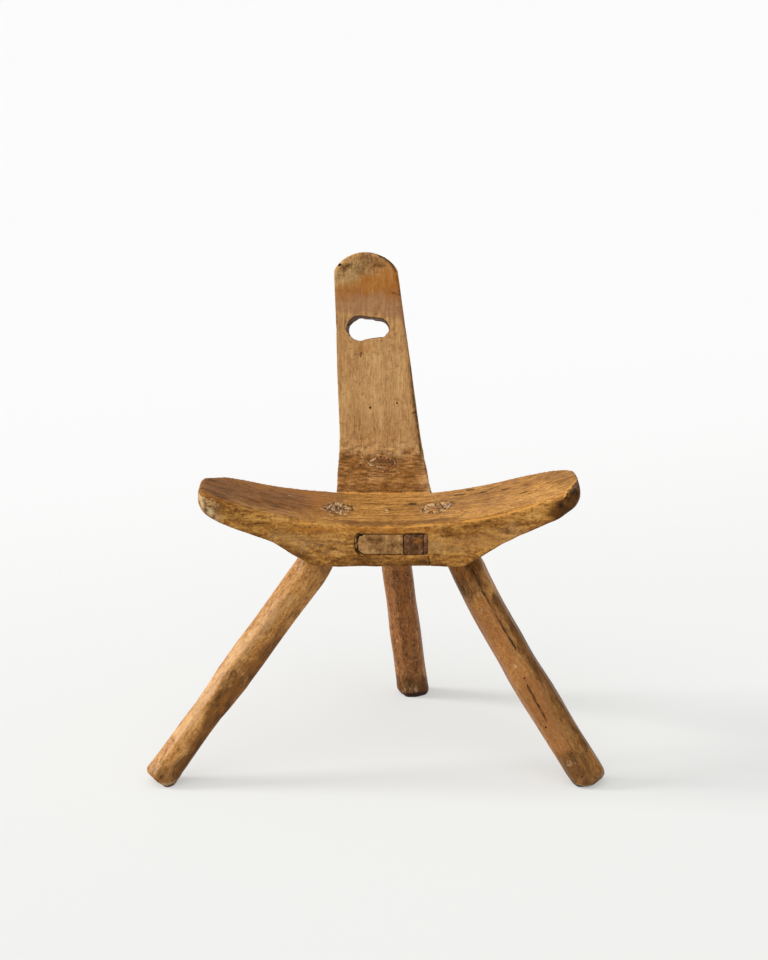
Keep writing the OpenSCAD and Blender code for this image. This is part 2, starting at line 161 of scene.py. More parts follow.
def linear(code):
    """Turns an sRGB hex colour into linear red, green and blue."""
    parts = [int(code[i:i + 2], 16) / 255 for i in (1, 3, 5)]
    return [p / 12.92 if p <= 0.04045 else ((p + 0.055) / 1.055) ** 2.4 for p in parts]


def eased(t):
    """Smooth step from 0 to 1."""
    t = np.clip(t, 0, 1)
    return t * t * (3 - 2 * t)


def rise(value, start, end):
    """Eases from 0 at the start to 1 at the end, which may be the smaller of the two."""
    return eased((value - start) / (end - start))


def hump(value, middle, spread):
    """A smooth hill of height 1 round a middle value."""
    return np.exp(-((value - middle) / spread) ** 2)


def band(value, middle, width, edge=1.2):
    """1 near a middle value, and 0 when it is as many widths away as the edge says."""
    return eased(edge - np.abs(value - middle) / width)


def soft_noise(co, cell, seed):
    """A smooth random height from -1 to 1, with bumps one cell wide."""
    table = np.random.default_rng(seed).uniform(-1, 1, (GRID, GRID, GRID))
    place = co / np.array(cell, float)
    whole = np.floor(place).astype(int)
    part = eased(place - whole)
    total = np.zeros(len(co))
    for corner in product((0, 1), repeat=3):
        weight = np.prod(np.where(corner, part, 1 - part), axis=1)
        x, y, z = ((whole + corner) % GRID).T
        total += weight * table[x, y, z]
    return total


def bump(co, name, more=0):
    """The height of one kind of bump at each point. More is added to its seed."""
    cell, seed, height = BUMPS[name]
    return soft_noise(co, cell, seed + more) * height


def wander(co, name):
    """A random shift of each point, with a kind of bump for each axis."""
    return np.stack([bump(co, name, axis) for axis in range(3)], axis=1)


def distance(co, path, reach):
    """How far each point is from a path, or from a single place, where 1 is the reach."""
    place = co / np.array(reach, float)
    points = np.array(path, float).reshape(-1, 3) / np.array(reach, float)
    best = np.linalg.norm(place - points[0], axis=1)
    for a, b in zip(points, points[1:]):
        step = b - a
        along = np.clip((place - a) @ step / (step @ step), 0, 1)
        best = np.minimum(best, np.linalg.norm(place - a - along[:, None] * step, axis=1))
    return best


def near(co, path, reach, spread):
    """1 close to a path, and 0 from as many reaches away as the spread says."""
    return eased(spread - distance(co, path, reach))


def ringed(away, core):
    """Turns distances from a middle into distances from the ring round its bare core, if it has one."""
    return np.abs(away - core) / (1 - core) if core else away


def activate(piece):
    """Makes a piece the one that operators work on."""
    if bpy.context.mode != "OBJECT":
        bpy.ops.object.mode_set(mode="OBJECT")
    bpy.ops.object.select_all(action="DESELECT")
    piece.select_set(True)
    bpy.context.view_layer.objects.active = piece


def read(piece, what="co"):
    """The places of a mesh's vertices in millimetres, or their outward directions."""
    values = np.empty(len(piece.data.vertices) * 3, np.float32)
    piece.data.vertices.foreach_get(what, values)
    return values.reshape(-1, 3).astype(float) * (MM if what == "co" else 1)


def write(piece, co):
    """Moves a mesh's vertices to places given in millimetres."""
    piece.data.vertices.foreach_set("co", (co / MM).astype(np.float32).ravel())
    piece.data.update()


def relaxed(piece, co, passes):
    """Where the vertices lie after each has moved to the middle of its neighbours several times."""
    edges = np.empty(len(piece.data.edges) * 2, np.int32)
    piece.data.edges.foreach_get("vertices", edges)
    a, b = edges.reshape(-1, 2).T
    count = np.bincount(a, minlength=len(co)) + np.bincount(b, minlength=len(co))
    for turn in range(passes):
        total = np.stack([
            np.bincount(a, co[b, i], len(co)) + np.bincount(b, co[a, i], len(co)) for i in range(3)
        ], axis=1)
        co = (co + total / count[:, None]) / 2
    return co


def start_piece(name, node, voxel, passes=2):
    """A copy of a CAD solid, remeshed with even faces and smoothed, with its places and directions."""
    piece = bpy.data.objects.new(name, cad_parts[node].data.copy())
    bpy.context.scene.collection.objects.link(piece)
    piece.data.materials.clear()
    activate(piece)
    bpy.ops.object.mode_set(mode="EDIT")
    bpy.ops.mesh.select_all(action="SELECT")
    bpy.ops.mesh.remove_doubles(threshold=MERGED)
    bpy.ops.object.mode_set(mode="OBJECT")
    bpy.ops.object.modifier_add(type="REMESH")
    remesh = piece.modifiers[-1]
    remesh.mode = "VOXEL"
    remesh.voxel_size = voxel
    remesh.use_smooth_shade = True
    bpy.ops.object.modifier_apply(modifier=remesh.name)
    co = relaxed(piece, read(piece), passes)
    write(piece, co)
    return piece, co, read(piece, "normal")


def softened(piece, co, where, passes):
    """Rounds the surface where a weight is 1 and leaves it where the weight is 0."""
    where = where[:, None]
    return co * (1 - where) + relaxed(piece, co, passes) * where


def refine(piece, marks):
    """Splits the faces round small marks, so that a carved mark has a clean edge."""
    co = read(piece)
    close = np.zeros(len(co), bool)
    for mark in marks:
        close |= distance(co, mark.path, np.array(mark.reach, float) + SPLIT_ROOM) < 1
    mesh = piece.data
    for parts in (mesh.polygons, mesh.edges):
        parts.foreach_set("select", np.zeros(len(parts), bool))
    mesh.vertices.foreach_set("select", close)
    activate(piece)
    bpy.context.tool_settings.mesh_select_mode = (True, False, False)
    bpy.ops.object.mode_set(mode="EDIT")
    bpy.ops.mesh.subdivide(number_cuts=SPLIT_CUTS)
    bpy.ops.object.mode_set(mode="OBJECT")


def deepen(layers, **amounts):
    """Raises painted layers wherever an amount is more than what is there."""
    for name, amount in amounts.items():
        layers[name] = np.maximum(layers[name], amount)


def carve(co, out, marks, layers):
    """Sinks holes, pits and cracks into the wood and darkens them with grime and painted shade."""
    ragged = wander(co, "mark edge")
    patchy = 0.8 + bump(co, "patchy dirt")
    sunk = np.zeros(len(co))
    for mark in marks:
        away = ringed(distance(co + ragged * mark.rough, mark.path, mark.reach), mark.core)
        sunk = np.maximum(sunk, np.sqrt(np.clip(1 - away ** 2, 0, 1)) * mark.depth)
        # Grime and painted shade round each mark
        deepen(layers, dark=eased(DIRT_AND_SHADE_SPREAD - away) * mark.dirt * patchy)
    return co - out * sunk[:, None]


def paint(co, layers, strokes):
    """Adds painted places, of stain and of painted light and shade. A layer's strokes are paths, each with a
    reach and a strength.
    """
    ragged = wander(co, "tint edge") + wander(co, "small tint edge")
    for name, rows in strokes.items():
        for path, reach, strength in rows:
            away = distance(co + ragged * min(1, min(reach) / THIN_STROKE), path, reach)
            deepen(layers, **{name: eased(TINT_SPREAD - away) * strength})


def speckle(co, layers):
    """Pale torn fibres and dark pores in the end grain, drawn long towards the back so that they show."""
    ragged = wander(co, "grain edge")
    spots = bump(co, "torn grain") + bump(co, "coarse grain")
    for middle, reach, core, strength in END_GRAIN:
        inside = eased(GRAIN_SPREAD - ringed(distance(co + ragged, middle, reach), core)) * strength
        deepen(layers, pale=1.05 * inside * eased(2.4 * spots))
        deepen(layers, dark=0.75 * inside * eased(-2.4 * spots - 0.1))


def worn_layers(piece, co, out, rub=0.25):
    """Bare layers but for arrises rubbed light, and grime and painted shade in the creases."""
    layers = {name: np.zeros(len(co)) for name in LAYERS}
    bulge = np.sum((co - relaxed(piece, co, WEAR_PASSES)) * out, axis=1)
    # Rubbed arrises are lighter; creases are darker with grime and painted shade
    deepen(layers, worn=rub * eased(bulge / RUBBED), dark=0.6 * eased(-bulge / CREASED - 0.3))
    return layers


def mark_and_tint(piece, co, marks, strokes, **wear):
    """Carves and paints a shaped piece. Returns its places, directions and layers."""
    write(piece, co)
    refine(piece, marks)
    co, out = read(piece), read(piece, "normal")
    layers = worn_layers(piece, co, out, **wear)
    co = carve(co, out, marks, layers)
    paint(co, layers, strokes)
    speckle(co, layers)
    return co, out, layers


def finish_piece(piece, co, fibre, layers, node, material):
    """Writes the shape, fibre direction and painted layers, and puts the piece on the stool in its node's
    place.
    """
    low, high = (np.array(corner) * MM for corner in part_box(node))
    whole_low, whole_high = (np.array(corner) * MM for corner in CAD_BOX)
    write(piece, np.clip(co, np.maximum(low - SPARE, whole_low), np.minimum(high + SPARE, whole_high)))
    field = piece.data.attributes.new("fibre", "FLOAT_VECTOR", "POINT")
    field.data.foreach_set("vector", (fibre / MM).astype(np.float32).ravel())
    for name, values in layers.items():
        field = piece.data.attributes.new(name, "FLOAT", "POINT")
        field.data.foreach_set("value", values.astype(np.float32))
    activate(piece)
    bpy.ops.object.shade_smooth()
    piece.data.materials.append(material)
    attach(piece, "root")
    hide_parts(node)


def empty_tree(owner):
    """Gives a material or world a node tree with nothing in it."""
    owner.use_nodes = True
    owner.node_tree.nodes.clear()
    return owner.node_tree


def tree_node(tree, kind, settings=None, inputs=None):
    """Adds a node. An input is a value or another node's output."""
    made = tree.nodes.new(kind)
    for name, value in (settings or {}).items():
        setattr(made, name, value)
    for key, value in (inputs or {}).items():
        if isinstance(value, bpy.types.NodeSocket):
            tree.links.new(value, made.inputs[key])
        else:
            made.inputs[key].default_value = value
    return made


def maths(tree, operation, *values):
    """One step of arithmetic on values and sockets."""
    return tree_node(tree, "ShaderNodeMath", {"operation": operation}, dict(enumerate(values))).outputs[0]


def fitted(tree, value, low, high, start=0.0, end=1.0, curve="LINEAR"):
    """Brings a value from one range to another."""
    inputs = dict(enumerate((value, low, high, start, end)))
    return tree_node(tree, "ShaderNodeMapRange", {"interpolation_type": curve}, inputs).outputs[0]


def blended(tree, share, first, second):
    """A mix of two colours."""
    inputs = {0: share, 6: first, 7: second}
    return tree_node(tree, "ShaderNodeMix", {"data_type": "RGBA"}, inputs).outputs[2]


def summed(tree, field, weights, total):
    """Adds patterns to a total, each by its weight."""
    for key, weight in weights.items():
        total = maths(tree, "MULTIPLY_ADD", field[key], weight, total)
    return total


def attribute(tree, name, socket="Fac"):
    """What was written on the mesh under a name."""
    return tree_node(tree, "ShaderNodeAttribute", {"attribute_name": name}).outputs[socket]


# Patterns of the wood: width across the fibres, across the growth rings and along the fibres, then how much
# finer detail each carries. The fibres are drawn 2 mm wide, because real ones are too fine to show.
PATTERNS = {
    "broad": ((70, 60, 120), 2),
    "band": ((11, 26, 130), 3),
    "streak": ((3.2, 9, 50), 3),
    "fibre": ((2.0, 4, 20), 3),
    "grit": ((3.6, 4, 6), 5),
    "patina": ((8, 9, 15), 6),
    "blotch": ((8, 10, 24), 6),
    "cloud": ((12, 8, 7), 6),
    "speck": ((2.2, 2.4, 3), 3),
    "pore": ((1.6, 3, 9), 2),
}
PATTERN_ROUGHNESS = 0.62
# How long the waves in the fibres are, and how sharply a check shows in the middle of a streak
WAVE_LENGTH = 38
CHECK_SHARPNESS = 30
# The blotches between which the wax goes from its smoothest to its roughest
WAX_RANGE = (0.35, 0.65)
WAX_IOR = 1.45
# How strongly the fine relief shades the wood, and how high it is in metres
RELIEF = {"Strength": 0.8, "Distance": 0.0012}


def old_wood(name, look):
    """Oiled and waxed softwood or birch, split, hewn and worn by hands: satin, streaked along the fibres,
    darker where wax and grime stayed and where shade is painted, lighter and rougher where it is rubbed or
    frayed, and lighter where light is painted."""
    material = bpy.data.materials.new(name)
    tree = empty_tree(material)
    fibre = attribute(tree, "fibre", "Vector")
    waves = tree_node(
        tree, "ShaderNodeTexNoise", {}, {"Vector": fibre, "Scale": MM / WAVE_LENGTH, "Detail": 2.0}
    ).outputs["Color"]
    fibre = tree_node(
        tree, "ShaderNodeVectorMath", {"operation": "MULTIPLY_ADD"},
        {0: waves, 1: [wave / MM for wave in look["waves"]], 2: fibre}
    ).outputs[0]
    field = {}
    for key, (size, detail) in PATTERNS.items():
        scale = [MM / (width * look.get("coarse", 1)) for width in size]
        place = tree_node(tree, "ShaderNodeMapping", {}, {"Vector": fibre, "Scale": scale}).outputs[0]
        field[key] = tree_node(
            tree, "ShaderNodeTexNoise", {},
            {"Vector": place, "Scale": 1.0, "Detail": detail, "Roughness": PATTERN_ROUGHNESS}
        ).outputs[0]
    away = maths(tree, "ABSOLUTE", maths(tree, "SUBTRACT", field["streak"], 0.5))
    field["check"] = maths(tree, "MULTIPLY_ADD", away, -CHECK_SHARPNESS, field["patina"])
    tone = summed(tree, field, look["tone"], 0.5 - sum(look["tone"].values()) / 2)
    ramp = tree_node(tree, "ShaderNodeValToRGB", {}, {0: tone})
    while len(ramp.color_ramp.elements) < len(look["ramp"]):
        ramp.color_ramp.elements.new(0.5)
    for element, (place, code) in zip(ramp.color_ramp.elements, look["ramp"]):
        element.position = place
        element.color = linear(code) + [1]
    colour = ramp.outputs[0]
    painted = {key: attribute(tree, key) for key in LAYERS}
    for pattern, layer, gain, low, high, strength, code in look["tints"]:
        value = maths(tree, "MULTIPLY_ADD", painted[layer], gain, field[pattern])
        colour = blended(tree, fitted(tree, value, low, high, 0.0, strength), colour, linear(code) + [1])
    height = summed(tree, field, look["relief"], 0.0)
    shader = tree_node(tree, "ShaderNodeBsdfPrincipled", {}, {
        "Base Color": colour,
        "Roughness": fitted(tree, field["blotch"], *WAX_RANGE, *look["rough"]),
        "Normal": tree_node(tree, "ShaderNodeBump", {}, {"Height": height, **RELIEF}).outputs[0],
        "IOR": WAX_IOR,
        "Specular IOR Level": look["gloss"],
    })
    tree_node(tree, "ShaderNodeOutputMaterial", {}, {"Surface": shader.outputs[0]})
    return material


def tints(mottle="blotch", pores=0.5, checks=0.5, blotches=(0.68, 0.86), rub="#d59545"):
    """A wood's tints, for stain and for painted light and shade: for each its pattern, the painted layer that
    calls it up and its gain, the values between which it fades in, its strength and its colour."""
    return [
        # Light: lighter wood, and painted light on the legs' sides that face the lamps
        ("patina", "light", 1.0, 0.6, 1.5, 0.9, "#deb47c"),
        # Brown: brown stain, and painted shade under the seat, in the hand hole and on the legs' sides turned
        # from the lamps
        ("patina", "brown", 1.0, 0.65, 1.35, 0.85, "#623b12"),
        ("patina", "cool", 1.0, 0.65, 1.5, 0.8, "#98694b"),
        ("patina", "warm", 1.0, 0.65, 1.35, 0.8, "#a9651a"),
        ("patina", "green", 1.0, 0.75, 1.45, 0.8, "#96804c"),
        (mottle, "mottle", 0.3, *blotches, 0.85, "#583512"),
        ("pore", "mottle", 0.12, 0.63, 0.74, pores, "#4a2d12"),
        ("check", "mottle", 0.1, 0.47, 0.6, checks, "#46290f"),
        ("grit", "pale", 1.0, 1.0, 1.35, 0.75, "#c9ae84"),
        ("streak", "worn", 1.0, 0.9, 1.35, 0.8, rub),
        # Dark specks: grime and dark joints, and painted shade in creases and carved marks, in the hand hole,
        # along the back's right arris and down the legs' right sides
        ("speck", "dark", 1.0, 0.75, 1.3, 0.95, "#24140a"),
    ]


SEAT_WOOD = dict(
    coarse=1.25,
    waves=(10, 10, 16),
    tone=dict(broad=0.3, band=0.4, streak=0.8, fibre=1.0, patina=0.2, grit=0.9, speck=0.9),
    ramp=[(0.05, "#523212"), (0.38, "#95632c"), (0.6, "#ba833f"), (0.95, "#dcab60")],
    tints=tints(pores=0.6, blotches=(0.72, 0.9)),
    rough=(0.5, 0.68),
    gloss=0.1,
    relief=dict(streak=0.3, fibre=0.3, patina=0.6, grit=0.7),
)
BACK_WOOD = dict(
    waves=(8, 8, 14),
    tone=dict(broad=0.4, band=0.4, streak=0.6, fibre=0.7, patina=0.3, grit=0.5, speck=0.4),
    ramp=[(0.1, "#7d562f"), (0.38, "#b78755"), (0.6, "#cfa067"), (0.9, "#e4be8a")],
    tints=tints("cloud", 0.35, 0.35, (0.58, 0.82)),
    rough=(0.45, 0.62),
    gloss=0.08,
    relief=dict(streak=0.2, fibre=0.25, patina=0.5, grit=0.5),
)
LEG_WOOD = dict(
    waves=(5, 5, 10),
    tone=dict(broad=0.7, band=0.5, streak=0.4, fibre=0.5, patina=0.5, grit=0.85, speck=0.85),
    ramp=[(0.05, "#5c3614"), (0.38, "#a67036"), (0.6, "#c68f4e"), (0.95, "#deb075")],
    tints=tints(pores=0.6, checks=0.6, rub="#dcae78"),
    rough=(0.4, 0.55),
    gloss=0.2,
    relief=dict(streak=0.2, fibre=0.15, patina=0.4, grit=0.4),
)
REAR_LEG_WOOD = dict(
    LEG_WOOD,
    tone=dict(broad=0.6, band=0.5, streak=0.45, fibre=0.6, patina=0.5, grit=1.1, speck=1.0),
    ramp=[(0.05, "#45260a"), (0.38, "#84542c"), (0.6, "#9d6838"), (0.95, "#c39058")],
    tints=tints(pores=0.6, checks=0.6, rub="#c08a58"),
)
WEDGE_WOOD = dict(
    waves=(4, 4, 8),
    tone=dict(broad=0.4, band=0.5, streak=0.5, fibre=0.7, patina=1.0, grit=1.4),
    ramp=[(0.1, "#352010"), (0.42, "#614027"), (0.6, "#7a5234"), (0.9, "#aa7c58")],
    tints=tints(),
    rough=(0.55, 0.7),
    gloss=0.14,
    relief=dict(streak=0.4, fibre=0.5, grit=0.9, patina=0.8),
)
LEG_WEDGE_WOOD = dict(
    WEDGE_WOOD,
    tone=dict(broad=0.3, band=0.5, streak=0.5, fibre=0.5, patina=0.8, grit=1.4),
    ramp=[(0.1, "#54351a"), (0.42, "#7f582c"), (0.6, "#956b39"), (0.9, "#b48c55")],
    relief=dict(streak=0.4, fibre=0.4, grit=0.8),
)


class STOOL_PG_settings(bpy.types.PropertyGroup):
    """Sizes and colours of the stool's looks."""
    seat_voxel: bpy.props.FloatProperty(
        name="Seat face size", description="Size of the seat's faces", default=0.002, min=0.0015,
        unit="LENGTH",
    )
    back_voxel: bpy.props.FloatProperty(
        name="Back face size", description="Size of the back's faces", default=0.0016, min=0.0012,
        unit="LENGTH",
    )
    leg_voxel: bpy.props.FloatProperty(
        name="Leg face size", description="Size of the legs' faces", default=0.0013, min=0.001, unit="LENGTH",
    )
    wedge_voxel: bpy.props.FloatProperty(
        name="Wedge face size", description="Size of the wedges' faces", default=0.0008, min=0.0005,
        unit="LENGTH",
    )
    floor_size: bpy.props.FloatProperty(
        name="Floor size", description="Length of the floor's sides", default=400.0, unit="LENGTH",
    )
    floor_colour: bpy.props.FloatVectorProperty(
        name="Floor colour", description="Floor near the stool", default=linear("#e8e9e6"), subtype="COLOR",
    )
    far_colour: bpy.props.FloatVectorProperty(
        name="Far floor colour", description="Far part of the floor", default=linear("#f3f3f3"),
        subtype="COLOR",
    )
    floor_light: bpy.props.FloatProperty(
        name="Floor light", description="How brightly the seen floor glows in the shadows", default=1.08,
    )
    lamp_strength: bpy.props.FloatProperty(
        name="Lamps", description="Strength of the two soft lamps", default=1.0,
    )
    fill_strength: bpy.props.FloatProperty(
        name="Fill light", description="Strength of the light from all round", default=0.45,
    )


# The left front arris is worn round: its path, reach and passes
WORN_ARRIS = [(-215, -165, 385), (-190, -178, 374), (-110, -180, 357), (-70, -180, 352)]
WORN_ARRIS_REACH = 18
WORN_ARRIS_PASSES = 24
# The tips are rounded between these distances from the seat's middle, and keep their length over this much
TIP_ROUNDING = (222, 242)
TIP_PASSES = 36
TIP_KEPT = 40
# Where the worn tips are fuller than the solid's: middle, reach and move
SEAT_SWELLS = [
    ((-236, -122, 392), (16, 36, 26), (-5, 3, 1)),
    ((258, -80, 396), (26, 50, 24), (2, 2, 3.2)),
    ((274, -128, 396), (16, 40, 24), (4, 0, 2)),
]
# How proud the sides stand, and the underside all over and where each arm begins
SIDE_PROUD = 0.6
UNDER_PROUD = 1.2
ARM_FROM = 200
ARM_SPREAD = 42
# Where the dark right end and the pale left end fade in along x, the left also along y, and its broken rim
RIGHT_END = (214, 248)
LEFT_END = (-196, -222)
LEFT_END_FRONT = (-60, -110)
LEFT_RIM = (-204, -212)
# How steep that rim is where it is dark and where it is rubbed, each with its spread
DARK_SLOPE = (0.52, 0.1)
RUBBED_SLOPE = (0.78, 0.08)
# The right end's dark face begins at this x where y has this value, and this much farther right per mm of y
SEAT_RIM = (250, -180, 0.45)
RIM_FACE_FROM = (226, 236)
RIM_LINE_FROM = (240, 250)
# How far to the right of it the rim's dark and rubbed lines lie, each with its half width and soft edge
DARK_LINE = (0, 1.8, 1.3)
RUBBED_LINE = (-4, 2, 1.3)
# The two marks without a depth only split the faces round the front tenons
SEAT_MARKS = [
    Mark((-132, -178, 364), (4, 6, 3), 0.7, 0.4),
    Mark([(-126, -122, 362), (-108, -125, 360)], (5, 1.6, 3), 1.0, 0.8, 0.7),
    Mark([(-155, -118, 368), (-130, -119, 363)], (5, 1.6, 3), 1.0, 0.7, 0.7),
    Mark([(-175, -90, 373), (-150, -92, 368)], (5, 1.6, 3), 0.8, 0.6, 0.7),
    Mark([(-190, -130, 377), (-160, -134, 370)], (6, 1.8, 3), 1.0, 0.6, 0.7),
    Mark([(46, -65, 350), (52, -65, 350)], (5, 6, 4), 1.0, 0.75, 0.7),
    Mark([(19, -90, 349), (22, -90, 349)], (3.0, 5.0, 3), 1.4, 0.95, 0.6),
    Mark([(129, -23, 360), (136, -24, 361)], (4, 4, 3), 1.3, 0.78, 0.8),
    Mark([(140, -50, 361), (150, -49, 363)], (4, 4, 3), 1.3, 0.78, 0.8),
    Mark([(158, -40, 364), (168, -38, 367)], (4, 3, 3), 1.2, 0.78, 0.8),
    Mark([(176, -59, 369), (182, -60, 371)], (4, 3, 3), 1.2, 0.78, 0.8),
    Mark([(112, -40, 356), (122, -42, 358)], (4, 3, 3), 1.0, 0.78, 0.8),
    Mark((116, -128, 356), (2.4, 3.0, 3), 1.4, 0.9),
    Mark([(199, -102, 375), (206, -101, 377)], (4, 2.6, 3), 1.0, 0.78, 0.7),
    Mark([(-20, -60, 350), (10, -62, 349)], (5, 1.8, 3), 0.9, 0.6, 0.7),
    Mark((-52, -99, 352), (30, 42, 10), 0.0, 0.0),
    Mark((82, -95, 352), (30, 30, 8), 0.0, 0.0),
    Mark([(-36, -80, 350), (-33, -98, 350)], (3, 4, 3), 1.8, 0.9, 0.8),
    Mark([(70, -180.5, 308), (71, -180.5, 303), (73, -180.5, 294)], (0.7, 6, 0.7), 3.0),
    Mark([(78, -180.5, 311), (84, -180.5, 310)], (3, 6, 0.6), 1.5, 0.6),
]
# The seat's front arris, as it lies on the finished seat
FRONT_ARRIS = [
    (-100, -180, 354), (-60, -180, 351), (20, -180, 348), (90, -180, 352), (150, -180, 361), (200, -178, 373),
    (225, -175, 381),
]
SEAT_STROKES = dict(
    dark=[
        ([(-22, -181, 339.5), (-26, -181, 335), (-27.5, -181, 325), (-26, -181, 315), (-22, -181, 310)],
         (1.8, 4, 1.6), 0.95),
        ([(40, -181, 339.8), (64, -181, 339.8)], (3, 3, 1.2), 0.85),
        ([(-160, -182, 353), (-110, -182, 344)], (14, 3, 2.0), 0.3),
        ([(-215, -120, 390), (-110, -90, 358)], (36, 70, 24), 0.42),
        ([(60, -100, 352), (200, -60, 372)], (40, 50, 20), 0.3),
    ],
    brown=[
        ([(-235, -120, 395), (-70, -60, 352)], (36, 90, 40), 0.5),
        ([(-20, -181, 300), (60, -181, 300)], (44, 8, 9), 0.5),
        ([(120, -181, 344), (123, -181, 318)], (4, 6, 12), 0.35),
        ([(-215, -181, 372), (-170, -181, 352)], (18, 10, 9), 0.4),
        ([(-110, -100, 355), (-60, -30, 352)], (30, 20, 20), 0.45),
        ([(60, -70, 350), (150, -40, 362)], (20, 14, 12), 0.35),
        ((-58, -99, 353), (30, 28, 8), 0.5),
        ((100, -78, 353), (9, 12, 6), 0.8),
        ([(236, -60, 390), (262, -120, 398)], (26, 30, 16), 0.5),
        ([(-40, -165, 350), (100, -165, 352)], (30, 12, 6), 0.68),
        ([(-130, -181, 322), (-84, -181, 298)], (20, 6, 7), 0.5),
    ],
    worn=[
        (FRONT_ARRIS, (4, 2.2, 1.8), 1.1),
        ([(205, -180, 342), (100, -180, 297)], (6, 3, 1.6), 0.6),
    ],
    warm=[
        ([(-225, -120, 392), (-90, -70, 353)], (36, 80, 30), 0.6),
        ([(-100, -180, 345), (20, -181, 344), (60, -181, 344)], (30, 6, 4), 0.5),
        ([(110, -181, 330), (150, -181, 335)], (26, 5, 14), 0.35),
    ],
    light=[
        ([(-120, -181, 330), (-60, -181, 325)], (30, 6, 18), 0.2),
        ([(86, -181, 322), (180, -181, 340)], (24, 6, 14), 0.3),
    ],
    pale=[
        ((-119, -68, 362), (7, 7, 3), 0.7),
        ([(-101, -181, 334), (-99, -181, 314)], (1.2, 5, 5), 0.62),
        ([(-80, -181, 336), (-76, -181, 318)], (1.2, 5, 5), 0.58),
        ([(-70, -181, 334), (-66, -181, 320)], (1.2, 5, 5), 0.64),
        ([(196, -181, 352), (214, -181, 352)], (7, 5, 9), 0.45),
        ([(-216, -178, 386), (-204, -178, 376)], (5, 5, 3), 0.6),
    ],
    green=[
        ([(-136, -181, 336), (-96, -181, 330)], (22, 5, 14), 0.32),
        ((-200, -181, 366), (18, 8, 10), 0.3),
        ([(80, -181, 325), (110, -181, 318)], (12, 5, 12), 0.25),
    ],
    mottle=[
        ([(-230, -140, 390), (-120, -100, 362)], (50, 90, 40), 0.8),
        ([(-70, -60, 352), (180, -60, 360)], (60, 60, 20), 0.5),
        ([(-20, -181, 300), (60, -181, 300)], (44, 8, 9), 0.9),
    ],
)


def seat_cut(co):
    """The adze's long shallow scoops over the seat, the same for all that ends in it."""
    return bump(co, "scoop") + bump(co, "small scoop")


class STOOL_OT_seat(bpy.types.Operator):
    """Hews the seat out of its slab"""
    bl_idname = "stool.seat"
    bl_label = "Hewn seat"

    def execute(self, context):
        piece, co, out = start_piece("hewn_seat", "seat", context.scene.stool.seat_voxel)
        reach = np.abs(co[:, 0] - SEAT_MIDDLE)
        co = softened(piece, co, near(co, WORN_ARRIS, WORN_ARRIS_REACH, 1.5), WORN_ARRIS_PASSES)
        ends = co[:, 0].min(), co[:, 0].max()
        co = softened(piece, co, rise(reach, *TIP_ROUNDING), TIP_PASSES)
        for end, tip in zip(ends, (co[:, 0].min(), co[:, 0].max())):
            co[:, 0] += (end - tip) * rise(np.abs(co[:, 0] - tip), TIP_KEPT, 0)
        for middle, spread, move in SEAT_SWELLS:
            co = co + np.exp(-distance(co, middle, spread) ** 2)[:, None] * np.array(move, float)
        write(piece, co)
        out = read(piece, "normal")
        upright = 1 - np.abs(out[:, 2])
        under = eased(-out[:, 2])
        lift = seat_cut(co) + upright * (bump(co, "hewn side") + SIDE_PROUD)
        proud = UNDER_PROUD * (1 + hump(reach, ARM_FROM, ARM_SPREAD))
        lift += under * (proud + bump(co, "rough underside"))
        co = co + out * lift[:, None]
        co, out, layers = mark_and_tint(piece, co, SEAT_MARKS, SEAT_STROKES)
        self.tint_ends_and_underside(co, out, layers)
        material = old_wood("waxed_hewn_slab", SEAT_WOOD)
        finish_piece(piece, co, co[:, [1, 2, 0]], layers, "seat", material)
        return {"FINISHED"}

    def tint_ends_and_underside(self, co, out, layers):
        """The right end painted dark, the left one light with pale torn wood, a broken line along their rims,
        and painted shade on the underside.
        """
        ragged = co[:, 0] + bump(co, "ragged end")
        steep = out[:, 2] + bump(co, "ragged slope")
        torn = bump(co, "torn end")
        side = eased(1.3 - 1.8 * np.clip(steep, 0, 1))
        start, front, slant = SEAT_RIM
        rim = co[:, 0] - start - slant * (co[:, 1] - front) + bump(co, "ragged rim")
        shown = rise(co[:, 0], *RIM_LINE_FROM) * eased(out[:, 2] * 3)
        right = np.maximum(rise(ragged, *RIGHT_END) * side, eased(rim / 4) * rise(co[:, 0], *RIM_FACE_FROM))
        left = rise(ragged, *LEFT_END) * side * rise(co[:, 1], *LEFT_END_FRONT)
        tip = 0.8 * rise(ragged, *LEFT_RIM)
        deepen(layers, brown=right * 1.1, dark=right * (0.5 + 0.35 * torn), mottle=right * 0.8 + left)
        deepen(layers, light=left * 0.9, pale=left * (0.68 + 0.3 * torn), dark=left * (0.2 - 0.5 * torn))
        deepen(layers, dark=0.9 * tip * band(steep, *DARK_SLOPE), worn=0.9 * tip * band(steep, *RUBBED_SLOPE))
        deepen(layers, dark=0.95 * shown * band(rim, *DARK_LINE), worn=0.8 * shown * band(rim, *RUBBED_LINE))
        # Painted shade darkens the underside
        deepen(layers, brown=0.6 * eased(-2 * out[:, 2]))


# Where the tail comes out of the seat, where its tenon's front end begins to be rounded, and by how much
TAIL_SHOWN = (-20, -10)
TENON_END = (-150, -170)
TENON_ROUNDED = 0.5
# The uneven rim of the hand hole and the chopped bend
RIM_REACH = (44, 60, 30)
BEND_MIDDLE = (0, 90, 372)
BEND_REACH = (300, 60, 40)
# The flanks are full where they face sideways by this much, but not this close round the hole
FLANK_TURN = (0.4, 0.8)
FLANK_FREE = (36, 60, 22)
FLANK_FROM = 0.6
FLANK_PROUD = 0.9
# How far the hole's left wall is further in behind, its floor higher and its roof lower than the solid's,
# half its width and height, and its depth
WALL_IN = 4.2
FLOOR_UP = 2.6
ROOF_DOWN = 0.6
HOLE_HALF = (22, 12)
HOLE_DEPTH = 26
